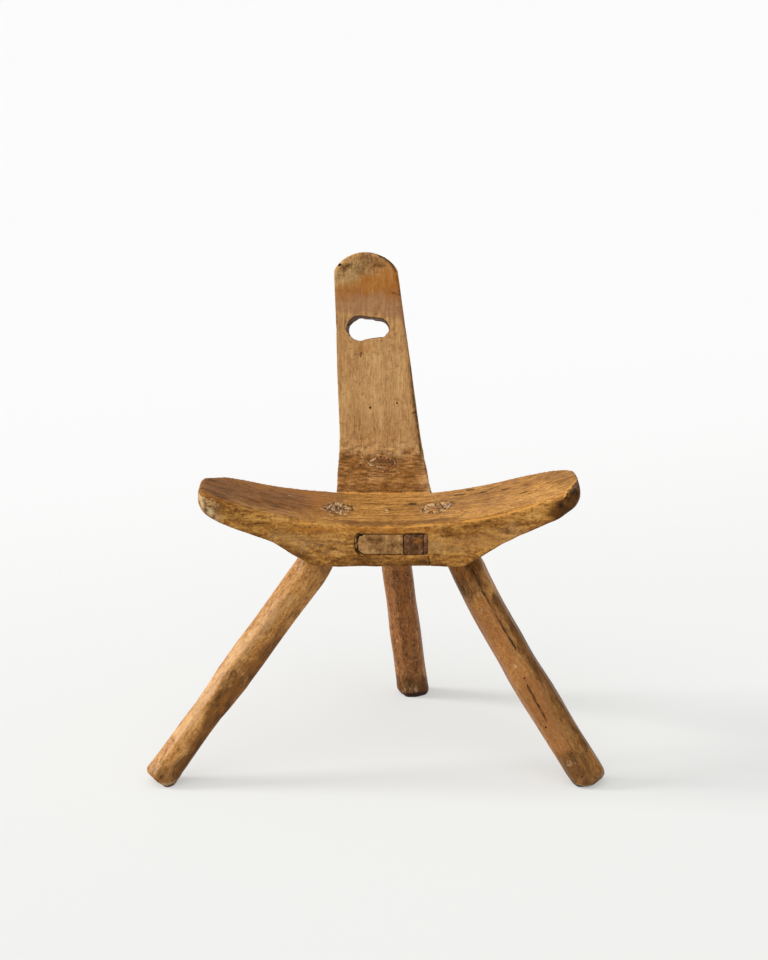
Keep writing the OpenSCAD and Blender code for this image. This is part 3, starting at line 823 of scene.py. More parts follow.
# How far the hole's dark rim is turned from the front, with its spread and soft edge
RIM_TURN = (0.6, 0.3, 1.4)
BACK_MARKS = [
    Mark([(-22, 159, 520), (-23, 158, 516)], (1.3, 5, 1.5), 2.5, 0.8),
    Mark((-9, 136, 443), 1.9, 3.0, 0.85),
    Mark((30, 138, 450), 1.4, 3.0, 0.8),
    Mark((-54, 197, 646), 2.4, 4.0),
    Mark([(24, 185, 606), (32, 184, 602), (39, 184, 605)], (3, 5, 1.2), 1.2, 0.4),
    Mark([(57, 133, 437), (53, 134, 435)], (3, 5, 1.2), 1.4, 0.4),
    Mark([(-38, 103, 377), (-28, 104, 377)], (6, 4, 3), 1.2, 0.5, 0.9),
    Mark([(-21, 84, 369), (-17, 84, 369)], (4, 4, 3), 1.0, 0.45, 0.9),
    Mark([(-45, 69, 365), (-38, 69, 365)], (6, 4, 3), 1.0, 0.45, 0.9),
    Mark([(31, 96, 374), (38, 95, 374)], (5, 5, 3), 1.0, 0.5, 0.9),
    Mark([(17, 66, 365), (24, 66, 365)], (6, 4, 3), 1.0, 0.5, 0.9),
    Mark([(-37, 14, 352), (-20, 15, 352)], (7, 3, 3), 0.8, 0.4, 0.9),
    Mark([(31, 29, 356), (50, 26, 355)], (7, 3, 3), 0.8, 0.4, 0.9),
    Mark([(-18, -181, 339), (-24, -181, 335), (-26, -181, 325), (-24, -181, 315), (-18, -181, 310)],
         (1.8, 8, 1.4), 3.0, rough=0.8),
]
# The back rest's front arrises, as they lie on the finished crook
RIGHT_ARRIS = [
    (64.5, 108, 385), (63.4, 118, 390), (59.9, 130, 422), (54.2, 141, 456),
    (49.9, 158, 511), (42.2, 174, 565), (35.6, 183, 600), (29, 193, 630),
]
LEFT_ARRIS = [
    (-55, 110, 385), (-53, 125, 401), (-57.8, 158, 511), (-58.5, 171, 554),
    (-59.6, 182, 597), (-60.5, 195, 620),
]
CROWN_ARRIS = [(3, 200, 659), (15, 198, 653), (24, 196, 645), (28, 194, 636)]
BACK_STROKES = dict(
    dark=[
        # Painted shade: dark lines along the right arris, where the rounded edge turns away from the lamps
        (RIGHT_ARRIS[:6], (1.1, 14, 6), 0.75),
        (RIGHT_ARRIS[6:], (0.8, 14, 6), 0.5),
        (LEFT_ARRIS, (1.2, 14, 8), 0.35),
        (CROWN_ARRIS, (1.2, 14, 1.2), 0.7),
        ([(-50, 6, 350), (60, 6, 350)], (20, 4, 4), 0.4),
    ],
    brown=[
        (RIGHT_ARRIS, (5, 20, 10), 0.55),
        ([(-45, 90, 372), (-30, 20, 356)], (30, 30, 16), 0.45),
        ([(40, 30, 358), (50, 60, 364)], (24, 30, 16), 0.5),
        ((10, 50, 362), (30, 30, 16), 0.3),
        ([(-45, 16, 353), (50, 16, 353)], (30, 20, 12), 0.55),
        ([(-60, 96, 380), (60, 96, 380)], (30, 12, 8), 0.2),
        ((8, -181, 323), (40, 14, 20), 0.42),
        ([(-50, 192, 636), (-20, 198, 646)], (16, 20, 12), 0.36),
        ((-8, 197, 648), (8, 20, 4), 0.4),
        ([(-56, 180, 570), (-56, 150, 480)], (7, 24, 60), 0.3),
        (HOLE_MIDDLE, (38, 30, 23), 0.3),
        ([(-30, 188, 616), (20, 190, 616)], (30, 20, 14), 0.3),
        (CROWN_ARRIS, (3, 14, 3), 0.8),
    ],
    warm=[
        ([(-46, 186, 608), (-20, 188, 616)], (24, 20, 14), 0.6),
        ([(-10, 189, 618), (12, 190, 620)], (26, 20, 18), 0.72),
        ([(26, 189, 614), (22, 192, 630)], (24, 20, 20), 0.72),
        ((10, 195, 642), (24, 20, 14), 0.5),
        ([(-40, 80, 370), (-40, 10, 352), (40, 10, 352), (40, 80, 370)], (44, 44, 30), 0.55),
        ((-14, 162, 526), (30, 10, 8), 0.3),
        ((0, 124, 400), (60, 30, 18), 0.25),
    ],
    green=[
        ([(-46, 192, 628), (-20, 197, 642)], (22, 20, 16), 0.48),
        ([(-10, 198, 652), (10, 198, 650)], (16, 20, 6), 0.3),
    ],
    pale=[
        ([(-20, 94, 374), (-28, 80, 368)], (5, 8, 4), 0.55),
        ([(38, 104, 378), (20, 110, 380)], (7, 6, 4), 0.55),
        ((24, 172, 556), (3, 8, 3), 0.6),
        ([(-50, 192, 632), (-26, 196, 644)], (18, 16, 13), 0.52),
    ],
    light=[([(-10, 140, 460), (10, 150, 510)], (34, 30, 60), 0.25)],
    cool=[
        ([(-52, 184, 602), (-10, 182, 598), (36, 184, 602)], (18, 20, 15), 0.8),
        ([(-52, 180, 584), (-10, 178, 584), (36, 176, 580)], (20, 20, 13), 0.75),
    ],
    mottle=[
        ([(-50, 80, 366), (50, 80, 366)], (60, 62, 38), 0.75),
        ([(-50, 10, 352), (50, 10, 352)], (60, 30, 20), 0.75),
        ([(-40, 195, 640), (-10, 197, 648)], (28, 20, 18), 0.6),
        ((20, -181, 323), (60, 14, 30), 0.6),
    ],
    worn=[([(-50, -2, 348), (60, -2, 348)], (20, 5, 3), 0.8)],
)


class STOOL_OT_back(bpy.types.Operator):
    """Shapes the crook: tail, bend and back rest"""
    bl_idname = "stool.back"
    bl_label = "Crook with its back rest"

    def execute(self, context):
        piece, co, out = start_piece("crook_back", "back_post", context.scene.stool.back_voxel)
        from_hole = co - HOLE_MIDDLE
        lift = bump(co, "crook swell") + bump(co, "crook ripple")
        lift += near(co, HOLE_MIDDLE, RIM_REACH, 1.5) * bump(co, "cut rim")
        lift += near(co, BEND_MIDDLE, BEND_REACH, 1.4) * bump(co, "chopped bend")
        free = eased(distance(co, HOLE_MIDDLE, FLANK_FREE) - FLANK_FROM)
        lift += FLANK_PROUD * (rise(np.abs(out[:, 0]), *FLANK_TURN) * free)
        deep = eased(0.5 - from_hole @ BACK_FACING / HOLE_DEPTH)
        walls = near(co, HOLE_MIDDLE, HOLE_REACH, 1.7)
        co[:, 0] += WALL_IN * walls * deep * rise(from_hole[:, 0], 0, -HOLE_HALF[0])
        co[:, 2] += FLOOR_UP * walls * rise(from_hole[:, 2], 0, -HOLE_HALF[1])
        co[:, 2] -= ROOF_DOWN * walls * rise(from_hole[:, 2], 0, HOLE_HALF[1])
        shown = rise(co[:, 1], *TAIL_SHOWN)
        lift *= shown
        lift -= (1 - shown) * rise(co[:, 1], *TENON_END) * eased(1.2 - np.abs(out[:, 1])) * TENON_ROUNDED
        co = co + out * lift[:, None]
        co, out, layers = mark_and_tint(piece, co, BACK_MARKS, BACK_STROKES, rub=0.0)
        facing = out @ BACK_FACING
        hidden = np.maximum(eased(-1.6 * facing), eased(1.6 * np.abs(out[:, 0]) - 0.5))
        hidden *= rise(co[:, 1], *TAIL_SHOWN)
        away = distance(co, HOLE_MIDDLE, HOLE_REACH)
        wall = eased(1.9 - away) * eased(1.9 - 2 * np.abs(facing))
        rim = eased(2.2 - away) * band(facing, *RIM_TURN)
        deepen(layers, brown=0.5 * hidden, mottle=0.2 * hidden, dark=0.8 * rim)
        # Painted shade darkens the hand hole's inner wall
        deepen(layers, brown=1.1 * wall, dark=wall * (0.35 + bump(co, "hole wall")))
        material = old_wood("waxed_crook", BACK_WOOD)
        finish_piece(piece, co, self.fibre(co), layers, "back_post", material)
        return {"FINISHED"}

    def fibre(self, co):
        """Places across the crook, through its thickness and along its bent fibres."""
        line = np.array(CROOK_LINE, float)
        steps = np.concatenate([[0], np.cumsum(np.linalg.norm(np.diff(line, axis=0), axis=1))])
        even = np.linspace(0, steps[-1], CROOK_POINTS)
        line = np.stack([np.interp(even, steps, line[:, i]) for i in range(2)], axis=1)
        for turn in range(CROOK_PASSES):
            line[1:-1] = (line[:-2] + 2 * line[1:-1] + line[2:]) / 4
        depth = np.empty(len(co))
        along = np.empty(len(co))
        best = np.full(len(co), np.inf)
        run = 0.0
        for a, b in zip(line, line[1:]):
            step = b - a
            length = np.linalg.norm(step)
            unit = step / length
            rel = co[:, 1:] - a
            inside = np.clip(rel @ unit, 0, length)
            gap = np.linalg.norm(rel - inside[:, None] * unit, axis=1)
            nearer = gap < best
            best = np.where(nearer, gap, best)
            depth = np.where(nearer, rel @ np.array([-unit[1], unit[0]]), depth)
            along = np.where(nearer, run + inside, along)
            run += length
        return np.stack([co[:, 0], depth, along], axis=1)


# How far the split wedge and slip lie below their solids' faces
WEDGE_SUNK = 0.3
WEDGE_STROKES = dict(
    # A painted highlight at the top right of the wedge's end
    pale=[((52, -181, 334), (5, 5, 4), 0.5)],
    warm=[((55, -181, 330), (8, 5, 7), 0.5)],
    dark=[([(36, -181, 339), (62, -181, 339)], (3, 5, 1.4), 0.8)],
    mottle=[((50, -181, 322), (20, 5, 16), 0.8)],
)


class STOOL_OT_tail_wedge(bpy.types.Operator):
    """Splits the wedge and the slip that hold the tail in the seat"""
    bl_idname = "stool.tail_wedge"
    bl_label = "Tail wedge and slip"

    def execute(self, context):
        material = old_wood("dark_driven_wedge", WEDGE_WOOD)
        for name, node in (("split_tail_wedge", "tenon_wedge"), ("split_tail_slip", "tenon_slip")):
            piece, co, out = start_piece(name, node, context.scene.stool.wedge_voxel)
            co = co + out * (bump(co, "split wedge") - WEDGE_SUNK)[:, None]
            layers = worn_layers(piece, co, out)
            paint(co, layers, WEDGE_STROKES)
            finish_piece(piece, co, co[:, [0, 2, 1]], layers, node, material)
        return {"FINISHED"}


# The tenons begin at these heights, and the leg's own shape fades out this far below them
TENON_FROM = {"leg_left": 290, "leg_right": 290, "leg_rear": 292}
TENON_FADE = 14
# Flats round the legs: the first one's angle, the step to the next, the twist along the leg, and how far out
# each lies as a part of the radius
FLATS = {
    "leg_left": (0, 45, 14, (0.97, 0.95, 0.96, 0.94, 0.97, 0.95, 0.96, 0.95)),
    "leg_right": (10, 51, -10, (0.95, 0.97, 0.94, 0.96, 0.95, 0.97, 0.95)),
    "leg_rear": (5, 40, 8, (0.98, 0.97, 0.98, 0.97, 0.98, 0.97, 0.98, 0.97, 0.98)),
}
# How sharply two flats meet, the least cosine to which a flat reaches round, and how they limit the radius
FLAT_SHARPNESS = 28
FLAT_REACH = 0.3
FLAT_LIMITS = (0.9, 1.06)
# Where a flat doesn't reach round, it lies this far out. Two flats nearer to each other than the gap make an
# arris.
OUT_OF_REACH = 9.0
ARRIS_GAP = 0.07
# A leg's middle is taken from slabs of this half thickness, this far apart and this far from its ends
SLAB_HALF = 5
SLAB_STEP = 6.0
SLAB_MARGIN = 8
# How proud a worn leg stands of its solid, and how much fuller its waist is: height, reach and amount
LEG_PROUD = 0.3
WAISTS = {"leg_left": (90, 30, 1.6), "leg_right": (165, 30, -1.0), "leg_rear": (90, 30, 0.0)}
# How far a worn leg's middle lies to the right of its solid's: height, reach and shift
BENDS = {"leg_right": [(200, 45, 3.4), (45, 40, -1.4)]}
# What faces up more than this is the tenon's end, and what faces down more than this is the sole
TENON_TOP = 0.7
SOLE = 0.4
# The heights over which a foot, its lower edge and the chipped rear foot's edge are worn more and more, and
# how often the edges are smoothed
FOOT = (30, 4)
FOOT_EDGE = (9, 1)
FOOT_PASSES = 5
CHIPPED_EDGE = (26, 18)
CHIP_PASSES = 16
# Where a worn front foot is fuller at the floor than its solid: middle, direction and how far its rim moves
FOOT_RADIUS = 13.0
FOOT_RIMS = {
    "leg_left": ((-283, -213), (-0.85, -0.53), 5.0),
    "leg_right": ((281, -213), (0.9, -0.44), 15.0),
}
RIM_HEIGHT = 20
# The rear foot is chipped on its left: a place on the chip and the way it faces
CHIP_PLACE = (40, 118, 4)
CHIP_FACING = np.array([-0.72, -0.25, -0.65])
# What ends lower than this above the floor stands on it
FLOOR_SNAP = 0.8
LEG_MARKS = {
    "leg_left": [
        Mark((-191, -194, 147), (5, 4.5, 6), 0.6, 0.5, core=0.65),
        Mark((-158, -180, 168), (3.4, 4, 4), 0.5, 0.4, core=0.65),
        Mark([(-213, -200, 118), (-222, -203, 104)], 0.6, 1.0, 0.7, 0.6),
        Mark([(-200, -196, 122), (-212, -202, 116)], 0.6, 0.8, 0.6, 0.6),
        Mark([(-256, -214, 70), (-263, -218, 64)], 0.9, 1.0, 0.7, 0.6),
        Mark((-232, -218, 62), (2, 4, 3), 1.0, 0.6, 0.8),
        Mark((-286, -240, 16), (4, 5, 4), 1.6, 0.6, 0.9),
        Mark((-268, -238, 8), (5, 5, 5), 1.8, 0.6, 0.9),
    ],
    "leg_right": [
        Mark([(130, -139, 280), (143, -147, 253), (156, -156, 231), (175, -168, 198), (190, -177, 176)],
             (0.34, 3, 3), 1.6, 0.62, 0.4),
        Mark([(204, -194, 130), (222, -206, 100), (230, -210, 86)], (0.42, 3, 3), 1.5, 0.65, 0.5),
        Mark((200, -191, 140), 1.3, 4.0),
        Mark((229, -210, 77), 1.1, 4.0),
        Mark((263, -227, 47), 1.0, 3.0),
        Mark((270, -234, 17), 1.0, 3.0),
        Mark((276, -237, 17), 1.2, 3.0),
    ],
    "leg_rear": [
        Mark((46, 96, 199), 1.4, 4.0),
        Mark((56, 107, 86), 1.4, 4.0),
        Mark((30, 70, 186), 1.0, 3.0, 0.7),
    ],
}
LEFT_LEG_STROKES = dict(
    dark=[
        ([(-60, -135, 290), (-70, -150, 272)], (12, 16, 14), 0.35),
        ((-285, -220, 2), (46, 46, 4), 0.7),
        ([(-80, -150, 252), (-130, -180, 190), (-185, -198, 130), (-230, -214, 74)], (13, 14, 13), 0.2),
        # Painted shade: a thin dark line down the right side, which faces away from the lamps
        ([(-50, -150, 270), (-90, -170, 222), (-146, -190, 164), (-204, -206, 100), (-260, -226, 20)],
         (5, 22, 5), 0.25),
    ],
    brown=[
        ([(-55, -140, 275), (-80, -160, 235)], (8, 26, 26), 0.6),
        # Painted shade: brown down the right side, which faces away from the lamps
        ([(-54, -152, 266), (-92, -168, 222), (-148, -188, 164), (-206, -203, 102), (-262, -222, 20)],
         (16, 26, 16), 0.9),
        ((-61, -99, 353), (26, 26, 6), 0.75),
        ((-282, -225, 10), (46, 46, 24), 0.6),
        ((-222, -206, 100), (10, 14, 12), 0.45),
    ],
    light=[
        # Painted light on the left side, which faces the lamps
        ([(-120, -150, 238), (-170, -176, 190), (-215, -190, 140), (-262, -210, 70)], (11, 24, 11), 0.45),
    ],
    pale=[
        ([(-82, -140, 288), (-92, -160, 262)], (10, 10, 10), 0.5),
        ((-78, -160, 270), (8, 12, 12), 0.58),
        ([(-168, -190, 150), (-178, -192, 130)], (7, 10, 9), 0.5),
        ((-282, -234, 4), (34, 24, 6), 0.66),
    ],
    warm=[
        ([(-90, -165, 240), (-170, -192, 140), (-240, -215, 50)], (14, 16, 14), 0.4),
        ((-66, -150, 282), (10, 14, 8), 0.6),
        ((-205, -196, 98), (10, 12, 12), 0.6),
    ],
    cool=[([(-130, -160, 236), (-205, -186, 142), (-275, -212, 50)], (4, 20, 4), 0.4)],
    green=[([(-190, -194, 152), (-180, -192, 162)], (9, 10, 12), 0.4)],
    mottle=[
        ([(-282, -220, 10), (-264, -210, 40)], (30, 30, 24), 0.68),
        ([(-190, -190, 140), (-210, -196, 105)], (20, 24, 20), 0.6),
        ([(-100, -165, 225), (-150, -185, 165)], (14, 24, 14), 0.5),
        ([(-60, -150, 262), (-148, -188, 160), (-240, -215, 50)], (13, 26, 13), 0.8),
        ((-70, -150, 275), (20, 24, 20), 0.5),
        ((-61, -99, 353), (24, 24, 8), 0.8),
    ],
)
RIGHT_LEG_STROKES = dict(
    dark=[
        ((277, -222, 2), (46, 46, 5), 0.8),
        ([(110, -135, 296), (130, -140, 282)], (26, 26, 10), 0.45),
        ([(262, -222, 40), (284, -228, 8)], (34, 34, 20), 0.25),
        # Painted shade: a thin dark line down the right side, which faces away from the lamps
        ([(170, -150, 246), (206, -170, 180), (306, -215, 20)], (5, 30, 5), 0.3),
    ],
    brown=[
        ([(110, -135, 290), (128, -145, 262)], (36, 30, 20), 0.6),
        # Painted shade: brown down the right side, which faces away from the lamps
        ([(165, -150, 240), (202, -170, 178), (302, -215, 18)], (10, 30, 10), 0.75),
        ([(205, -200, 120), (262, -225, 45)], (28, 30, 28), 0.58),
        ([(268, -225, 34), (284, -225, 8)], (34, 34, 24), 0.85),
        ((82, -97, 352), (24, 24, 8), 0.5),
        ((98, -84, 353), (9, 11, 6), 0.9),
    ],
    warm=[
        ([(140, -155, 225), (200, -192, 130), (250, -218, 50)], (20, 16, 20), 0.35),
        ((116, -140, 280), (30, 30, 24), 0.55),
    ],
    cool=[
        ([(118, -150, 235), (165, -175, 150), (215, -200, 60)], (12, 22, 12), 0.85),
        ([(150, -160, 220), (200, -190, 135), (250, -215, 60)], (20, 24, 20), 0.45),
    ],
    green=[([(196, -185, 155), (180, -172, 190)], (8, 12, 16), 0.3)],
    pale=[
        ([(139, -156, 230), (143, -156, 224)], (2.6, 6, 3), 0.75),
        ([(182, -172, 190), (184, -172, 186)], (2, 5, 2), 0.6),
        ([(183, -184, 158), (189, -184, 153)], (2.6, 6, 3), 0.7),
        ((282, -232, 4), (34, 24, 5), 0.7),
        ((262, -226, 34), (20, 20, 14), 0.55),
    ],
    mottle=[
        ([(105, -135, 285), (120, -140, 255)], (36, 36, 30), 0.95),
        ([(165, -150, 240), (202, -170, 178), (290, -215, 30)], (12, 30, 12), 0.75),
        ([(262, -222, 40), (280, -225, 8)], (30, 30, 24), 0.7),
        ([(150, -160, 220), (240, -210, 70)], (30, 30, 30), 0.15),
        ((82, -97, 352), (24, 24, 8), 0.6),
    ],
)
REAR_LEG_STROKES = dict(
    dark=[((54, 120, 2), (44, 44, 7), 0.8)],
    brown=[
        ([(66, 100, 240), (78, 120, 60)], (7, 30, 40), 0.55),
        ((54, 116, 10), (44, 44, 28), 0.8),
        ((8.5, 90, 371), (40, 40, 8), 0.48),
    ],
    warm=[([(40, 80, 210), (50, 95, 120)], (14, 20, 60), 0.35)],
    worn=[([(36, 72, 190), (40, 80, 160)], (4, 8, 20), 0.5)],
    pale=[((50, 106, 12), (30, 24, 16), 0.62)],
    green=[((50, 112, 20), (20, 20, 10), 0.4)],
    mottle=[((54, 120, 16), (60, 60, 30), 0.8), ((9, 90, 372), (30, 30, 8), 0.9)],
)
LEG_STROKES = {"leg_left": LEFT_LEG_STROKES, "leg_right": RIGHT_LEG_STROKES, "leg_rear": REAR_LEG_STROKES}


def leg_middles(co):
    """The middle of a leg at even heights, from its foot up."""
    middles = []
    for height in np.arange(co[:, 2].min() + SLAB_MARGIN, co[:, 2].max() - SLAB_MARGIN, SLAB_STEP):
        slab = co[np.abs(co[:, 2] - height) < SLAB_HALF]
        middles.append((slab.min(0) + slab.max(0)) / 2)
    return np.array(middles)


def leg_frame(co, middles):
    """Each vertex's angle round a leg, place across and along it and middle, and the leg's three axes."""
    first, last = middles[0], middles[-1]
    axis = (first - last) / np.linalg.norm(first - last)
    side = np.cross(axis, (0, 1, 0))
    side /= np.linalg.norm(side)
    front = np.cross(axis, side)
    along = (co - last) @ axis
    order = (middles - last) @ axis
    mid = np.stack([np.interp(along, order[::-1], middles[::-1, i]) for i in range(3)], axis=1)
    u, v = (co - mid) @ side, (co - mid) @ front
    return np.arctan2(v, u), np.stack([u, v, along], axis=1), mid, (side, front, axis)


def flat_cuts(turn, along, flats, seed):
    """How far out each long flat lies at every vertex, as a part of the radius."""
    first, step, twist, depths = flats
    track = np.stack([along, along * 0, along * 0], axis=1)
    cuts = []
    for k, depth in enumerate(depths):
        gap = np.cos(turn - radians(first + k * step) - radians(twist) * along / along.max())
        flat = depth + bump(track, "wavy flat", seed + k)
        cuts.append(np.where(gap > FLAT_REACH, flat / np.maximum(gap, FLAT_REACH), OUT_OF_REACH))
    return np.array(cuts)


def drawknife(co, middles, flats, keep, seed):
    """Cuts long flats round a leg."""
    turn, local, mid, (side, front, axis) = leg_frame(co, middles)
    cuts = flat_cuts(turn, local[:, 2], flats, seed)
    limit = -np.log(np.exp(-FLAT_SHARPNESS * cuts).sum(0)) / FLAT_SHARPNESS
    scale = 1 + (np.clip(limit, *FLAT_LIMITS) - 1) * keep
    u, v = local[:, 0] * scale, local[:, 1] * scale
    return mid + axis * ((co - mid) @ axis)[:, None] + side * u[:, None] + front * v[:, None]


def wear_foot(piece, co, node):
    """Rounds a foot's edge, chips it or spreads its rim, and stands it on the floor."""
    co = softened(piece, co, rise(co[:, 2], *FOOT_EDGE), FOOT_PASSES)
    if node == "leg_rear":
        past = np.maximum(0, (co - CHIP_PLACE) @ CHIP_FACING + bump(co, "torn chip"))
        co = co - past[:, None] * CHIP_FACING
        co = softened(piece, co, rise(co[:, 2], *CHIPPED_EDGE), CHIP_PASSES)
    else:
        middle, facing, move = FOOT_RIMS[node]
        away = (co[:, :2] - middle) / FOOT_RADIUS
        far = np.linalg.norm(away, axis=1)
        outer = eased(0.15 + 0.85 * (away @ facing) / np.maximum(far, 0.01)) * rise(co[:, 2], RIM_HEIGHT, 0)
        co[:, :2] += away * (move * outer / np.maximum(far, 1))[:, None]
    co[:, 2] = np.where(co[:, 2] < FLOOR_SNAP, 0.0, co[:, 2])
    return co


def make_leg(name, node, voxel, material, seed):
    """Draws a branch into a leg: long flats, a worn foot and a tenon that ends flush above."""
    piece, co, out = start_piece(name, node, voxel)
    middles = leg_middles(co)
    tenon = TENON_FROM[node], TENON_FROM[node] - TENON_FADE
    keep = rise(co[:, 2], *tenon)
    co = drawknife(co, middles, FLATS[node], keep, seed)
    write(piece, co)
    out = read(piece, "normal")
    for height, spread, shift in BENDS.get(node, ()):
        co[:, 0] += shift * hump(co[:, 2], height, spread) * keep
    local = leg_frame(co, middles)[1]
    height, spread, fuller = WAISTS[node]
    lift = bump(local, "branch swell", seed) + bump(local, "branch ripple", seed)
    lift = keep * (lift + LEG_PROUD + fuller * hump(co[:, 2], height, spread))
    foot = rise(co[:, 2], *FOOT)
    lift += foot * (LEG_PROUD + bump(local, "worn foot", seed))
    lift += (1 - keep) * seat_cut(co) * (out[:, 2] > TENON_TOP)
    lift *= 1 - eased(-out[:, 2] - SOLE) * foot
    co = wear_foot(piece, co + out * lift[:, None], node)
    co, out, layers = mark_and_tint(piece, co, LEG_MARKS[node], LEG_STROKES[node])
    turn, local = leg_frame(co, middles)[:2]
    nearest = np.sort(flat_cuts(turn, local[:, 2], FLATS[node], seed), axis=0)
    arris = rise(nearest[1] - nearest[0], ARRIS_GAP, 0) * rise(co[:, 2], *tenon)
    deepen(layers, worn=arris * (0.35 + bump(co, "patchy arris", seed)))
    finish_piece(piece, co, local, layers, node, material)


class STOOL_OT_front_legs(bpy.types.Operator):
    """Draws the two front legs"""
    bl_idname = "stool.front_legs"
    bl_label = "Front legs"

    def execute(self, context):
        material = old_wood("waxed_branch", LEG_WOOD)
        voxel = context.scene.stool.leg_voxel
        make_leg("drawn_left_leg", "leg_left", voxel, material, 41)
        make_leg("drawn_right_leg", "leg_right", voxel, material, 51)
        return {"FINISHED"}


class STOOL_OT_rear_leg(bpy.types.Operator):
    """Draws the rear leg, which stands in the crook's tail"""
    bl_idname = "stool.rear_leg"
    bl_label = "Rear leg"

    def execute(self, context):
        material = old_wood("waxed_red_branch", REAR_LEG_WOOD)
        make_leg("drawn_rear_leg", "leg_rear", context.scene.stool.leg_voxel, material, 61)
        return {"FINISHED"}


class STOOL_OT_leg_wedges(bpy.types.Operator):
    """Drives a wedge into each leg's tenon"""
    bl_idname = "stool.leg_wedges"
    bl_label = "Wedges in the leg tenons"

    def execute(self, context):
        material = old_wood("worn_end_grain_wedge", LEG_WEDGE_WOOD)
        for node in ("leg_left_wedge", "leg_right_wedge", "leg_rear_wedge"):
            piece, co, out = start_piece("driven_" + node, node, context.scene.stool.wedge_voxel, 1)
            co = co + out * bump(co, "leg wedge")[:, None]
            layers = worn_layers(piece, co, out)
            speckle(co, layers)
            finish_piece(piece, co, co, layers, node, material)
        return {"FINISHED"}


# Soft lamps: strength, spread in degrees, height over the floor and turn round the stool from its front
LAMPS = [
    ("low_window", 2.6, 20, 24, -96),
    ("high_bank", 1.15, 80, 56, -30),
]
# The floor pales towards the back between these distances in metres, slanted by this much to the side, so
# that it is also paler on the left, the lamps' side, as painted light
FLOOR_SLANT = -0.5
FLOOR_FADE = (-1.5, 2.8)
# How much of the seen floor glows by itself, and how bright the seen background is
GLOW_SHARE = 0.45
BACKGROUND_LIGHT = 0.98
WHITE = (1, 1, 1, 1)
# The photograph's camera: lens and sensor in millimetres, place in metres and tilt up from straight down
LENS = 75
SENSOR = 36
CAMERA_PLACE = (0.011, -2.7405, 1.051)
CAMERA_TILT = 76


def seen_directly(tree):
    """1 for what the camera, a gloss or a glass sees, so that they show the same pale studio."""
    light_path = tree_node(tree, "ShaderNodeLightPath").outputs
    share = light_path["Is Camera Ray"]
    for name in ("Is Glossy Ray", "Is Transmission Ray"):
        share = maths(tree, "MAXIMUM", share, light_path[name])
    return share


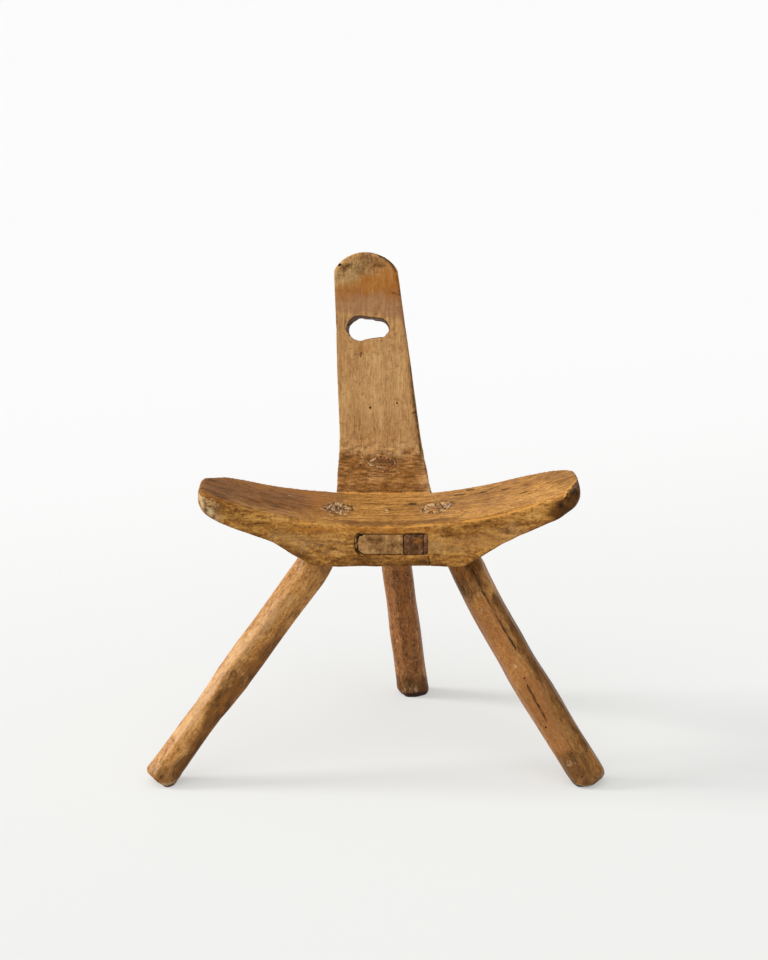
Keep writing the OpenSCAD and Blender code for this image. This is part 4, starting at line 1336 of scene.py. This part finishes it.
class STOOL_OT_stage(bpy.types.Operator):
    """Lays the floor and sets the light and the camera"""
    bl_idname = "stool.stage"
    bl_label = "Floor, light and camera"

    def execute(self, context):
        settings = context.scene.stool
        self.lay_floor(settings)
        self.light_studio(context, settings)
        view = bpy.data.cameras.new("photo_view")
        view.lens = LENS
        view.sensor_width = SENSOR
        camera = bpy.data.objects.new("photo_view", view)
        camera.location = CAMERA_PLACE
        camera.rotation_euler = (radians(CAMERA_TILT), 0, 0)
        context.scene.collection.objects.link(camera)
        context.scene.camera = camera
        context.scene.view_settings.view_transform = "Standard"
        return {"FINISHED"}

    def lay_floor(self, settings):
        """A matt floor that pales towards the back and, as painted light, towards the lamps on the left."""
        bpy.ops.mesh.primitive_plane_add(size=settings.floor_size, location=(0, 0, 0))
        floor = bpy.context.object
        floor.name = "studio_floor"
        material = bpy.data.materials.new("matt_studio_floor")
        tree = empty_tree(material)
        place = tree_node(tree, "ShaderNodeTexCoord").outputs["Object"]
        place = tree_node(tree, "ShaderNodeSeparateXYZ", {}, {0: place}).outputs
        slant = maths(tree, "MULTIPLY_ADD", place["X"], FLOOR_SLANT, place["Y"])
        far = fitted(tree, slant, *FLOOR_FADE, curve="SMOOTHSTEP")
        paper = blended(tree, far, list(settings.floor_colour) + [1], list(settings.far_colour) + [1])
        lit = tree_node(tree, "ShaderNodeBsdfDiffuse", {}, {"Color": paper})
        glow = tree_node(tree, "ShaderNodeEmission", {}, {"Color": paper, "Strength": settings.floor_light})
        share = maths(tree, "MULTIPLY", seen_directly(tree), GLOW_SHARE)
        mixed = tree_node(tree, "ShaderNodeMixShader", {}, {0: share, 1: lit.outputs[0], 2: glow.outputs[0]})
        tree_node(tree, "ShaderNodeOutputMaterial", {}, {"Surface": mixed.outputs[0]})
        floor.data.materials.append(material)

    def light_studio(self, context, settings):
        """Even light from all round and two soft lamps."""
        world = bpy.data.worlds.new("pale_studio")
        tree = empty_tree(world)
        fill, seen = (
            tree_node(tree, "ShaderNodeBackground", {}, {"Color": WHITE, "Strength": strength}).outputs[0]
            for strength in (settings.fill_strength, BACKGROUND_LIGHT)
        )
        mixed = tree_node(tree, "ShaderNodeMixShader", {}, {0: seen_directly(tree), 1: fill, 2: seen})
        tree_node(tree, "ShaderNodeOutputWorld", {}, {"Surface": mixed.outputs[0]})
        context.scene.world = world
        for name, strength, spread, height, turn in LAMPS:
            lamp = bpy.data.lights.new(name, "SUN")
            lamp.energy = strength * settings.lamp_strength
            lamp.angle = radians(spread)
            holder = bpy.data.objects.new(name, lamp)
            holder.rotation_euler = (radians(90 - height), 0, radians(turn))
            context.scene.collection.objects.link(holder)


STEPS = (
    STOOL_OT_stage, STOOL_OT_seat, STOOL_OT_back, STOOL_OT_tail_wedge, STOOL_OT_front_legs,
    STOOL_OT_rear_leg, STOOL_OT_leg_wedges,
)


class STOOL_PT_panel(bpy.types.Panel):
    """Lists the steps that build the stool's looks"""
    bl_idname = "STOOL_PT_panel"
    bl_label = "Stool"
    bl_space_type = "VIEW_3D"
    bl_region_type = "UI"
    bl_category = "Stool"

    def draw(self, context):
        for name in STOOL_PG_settings.__annotations__:
            self.layout.prop(context.scene.stool, name)
        for step in STEPS:
            self.layout.operator(step.bl_idname)


CLASSES = (STOOL_PG_settings, *STEPS, STOOL_PT_panel)


def register():
    for cls in CLASSES:
        bpy.utils.register_class(cls)
    bpy.types.Scene.stool = bpy.props.PointerProperty(type=STOOL_PG_settings)


def unregister():
    del bpy.types.Scene.stool
    for cls in reversed(CLASSES):
        bpy.utils.unregister_class(cls)


def main():
    register()
    bpy.ops.stool.stage()
    bpy.ops.stool.seat()
    bpy.ops.stool.back()
    bpy.ops.stool.tail_wedge()
    bpy.ops.stool.front_legs()
    bpy.ops.stool.rear_leg()
    bpy.ops.stool.leg_wedges()


if __name__ == "__main__":
    main()
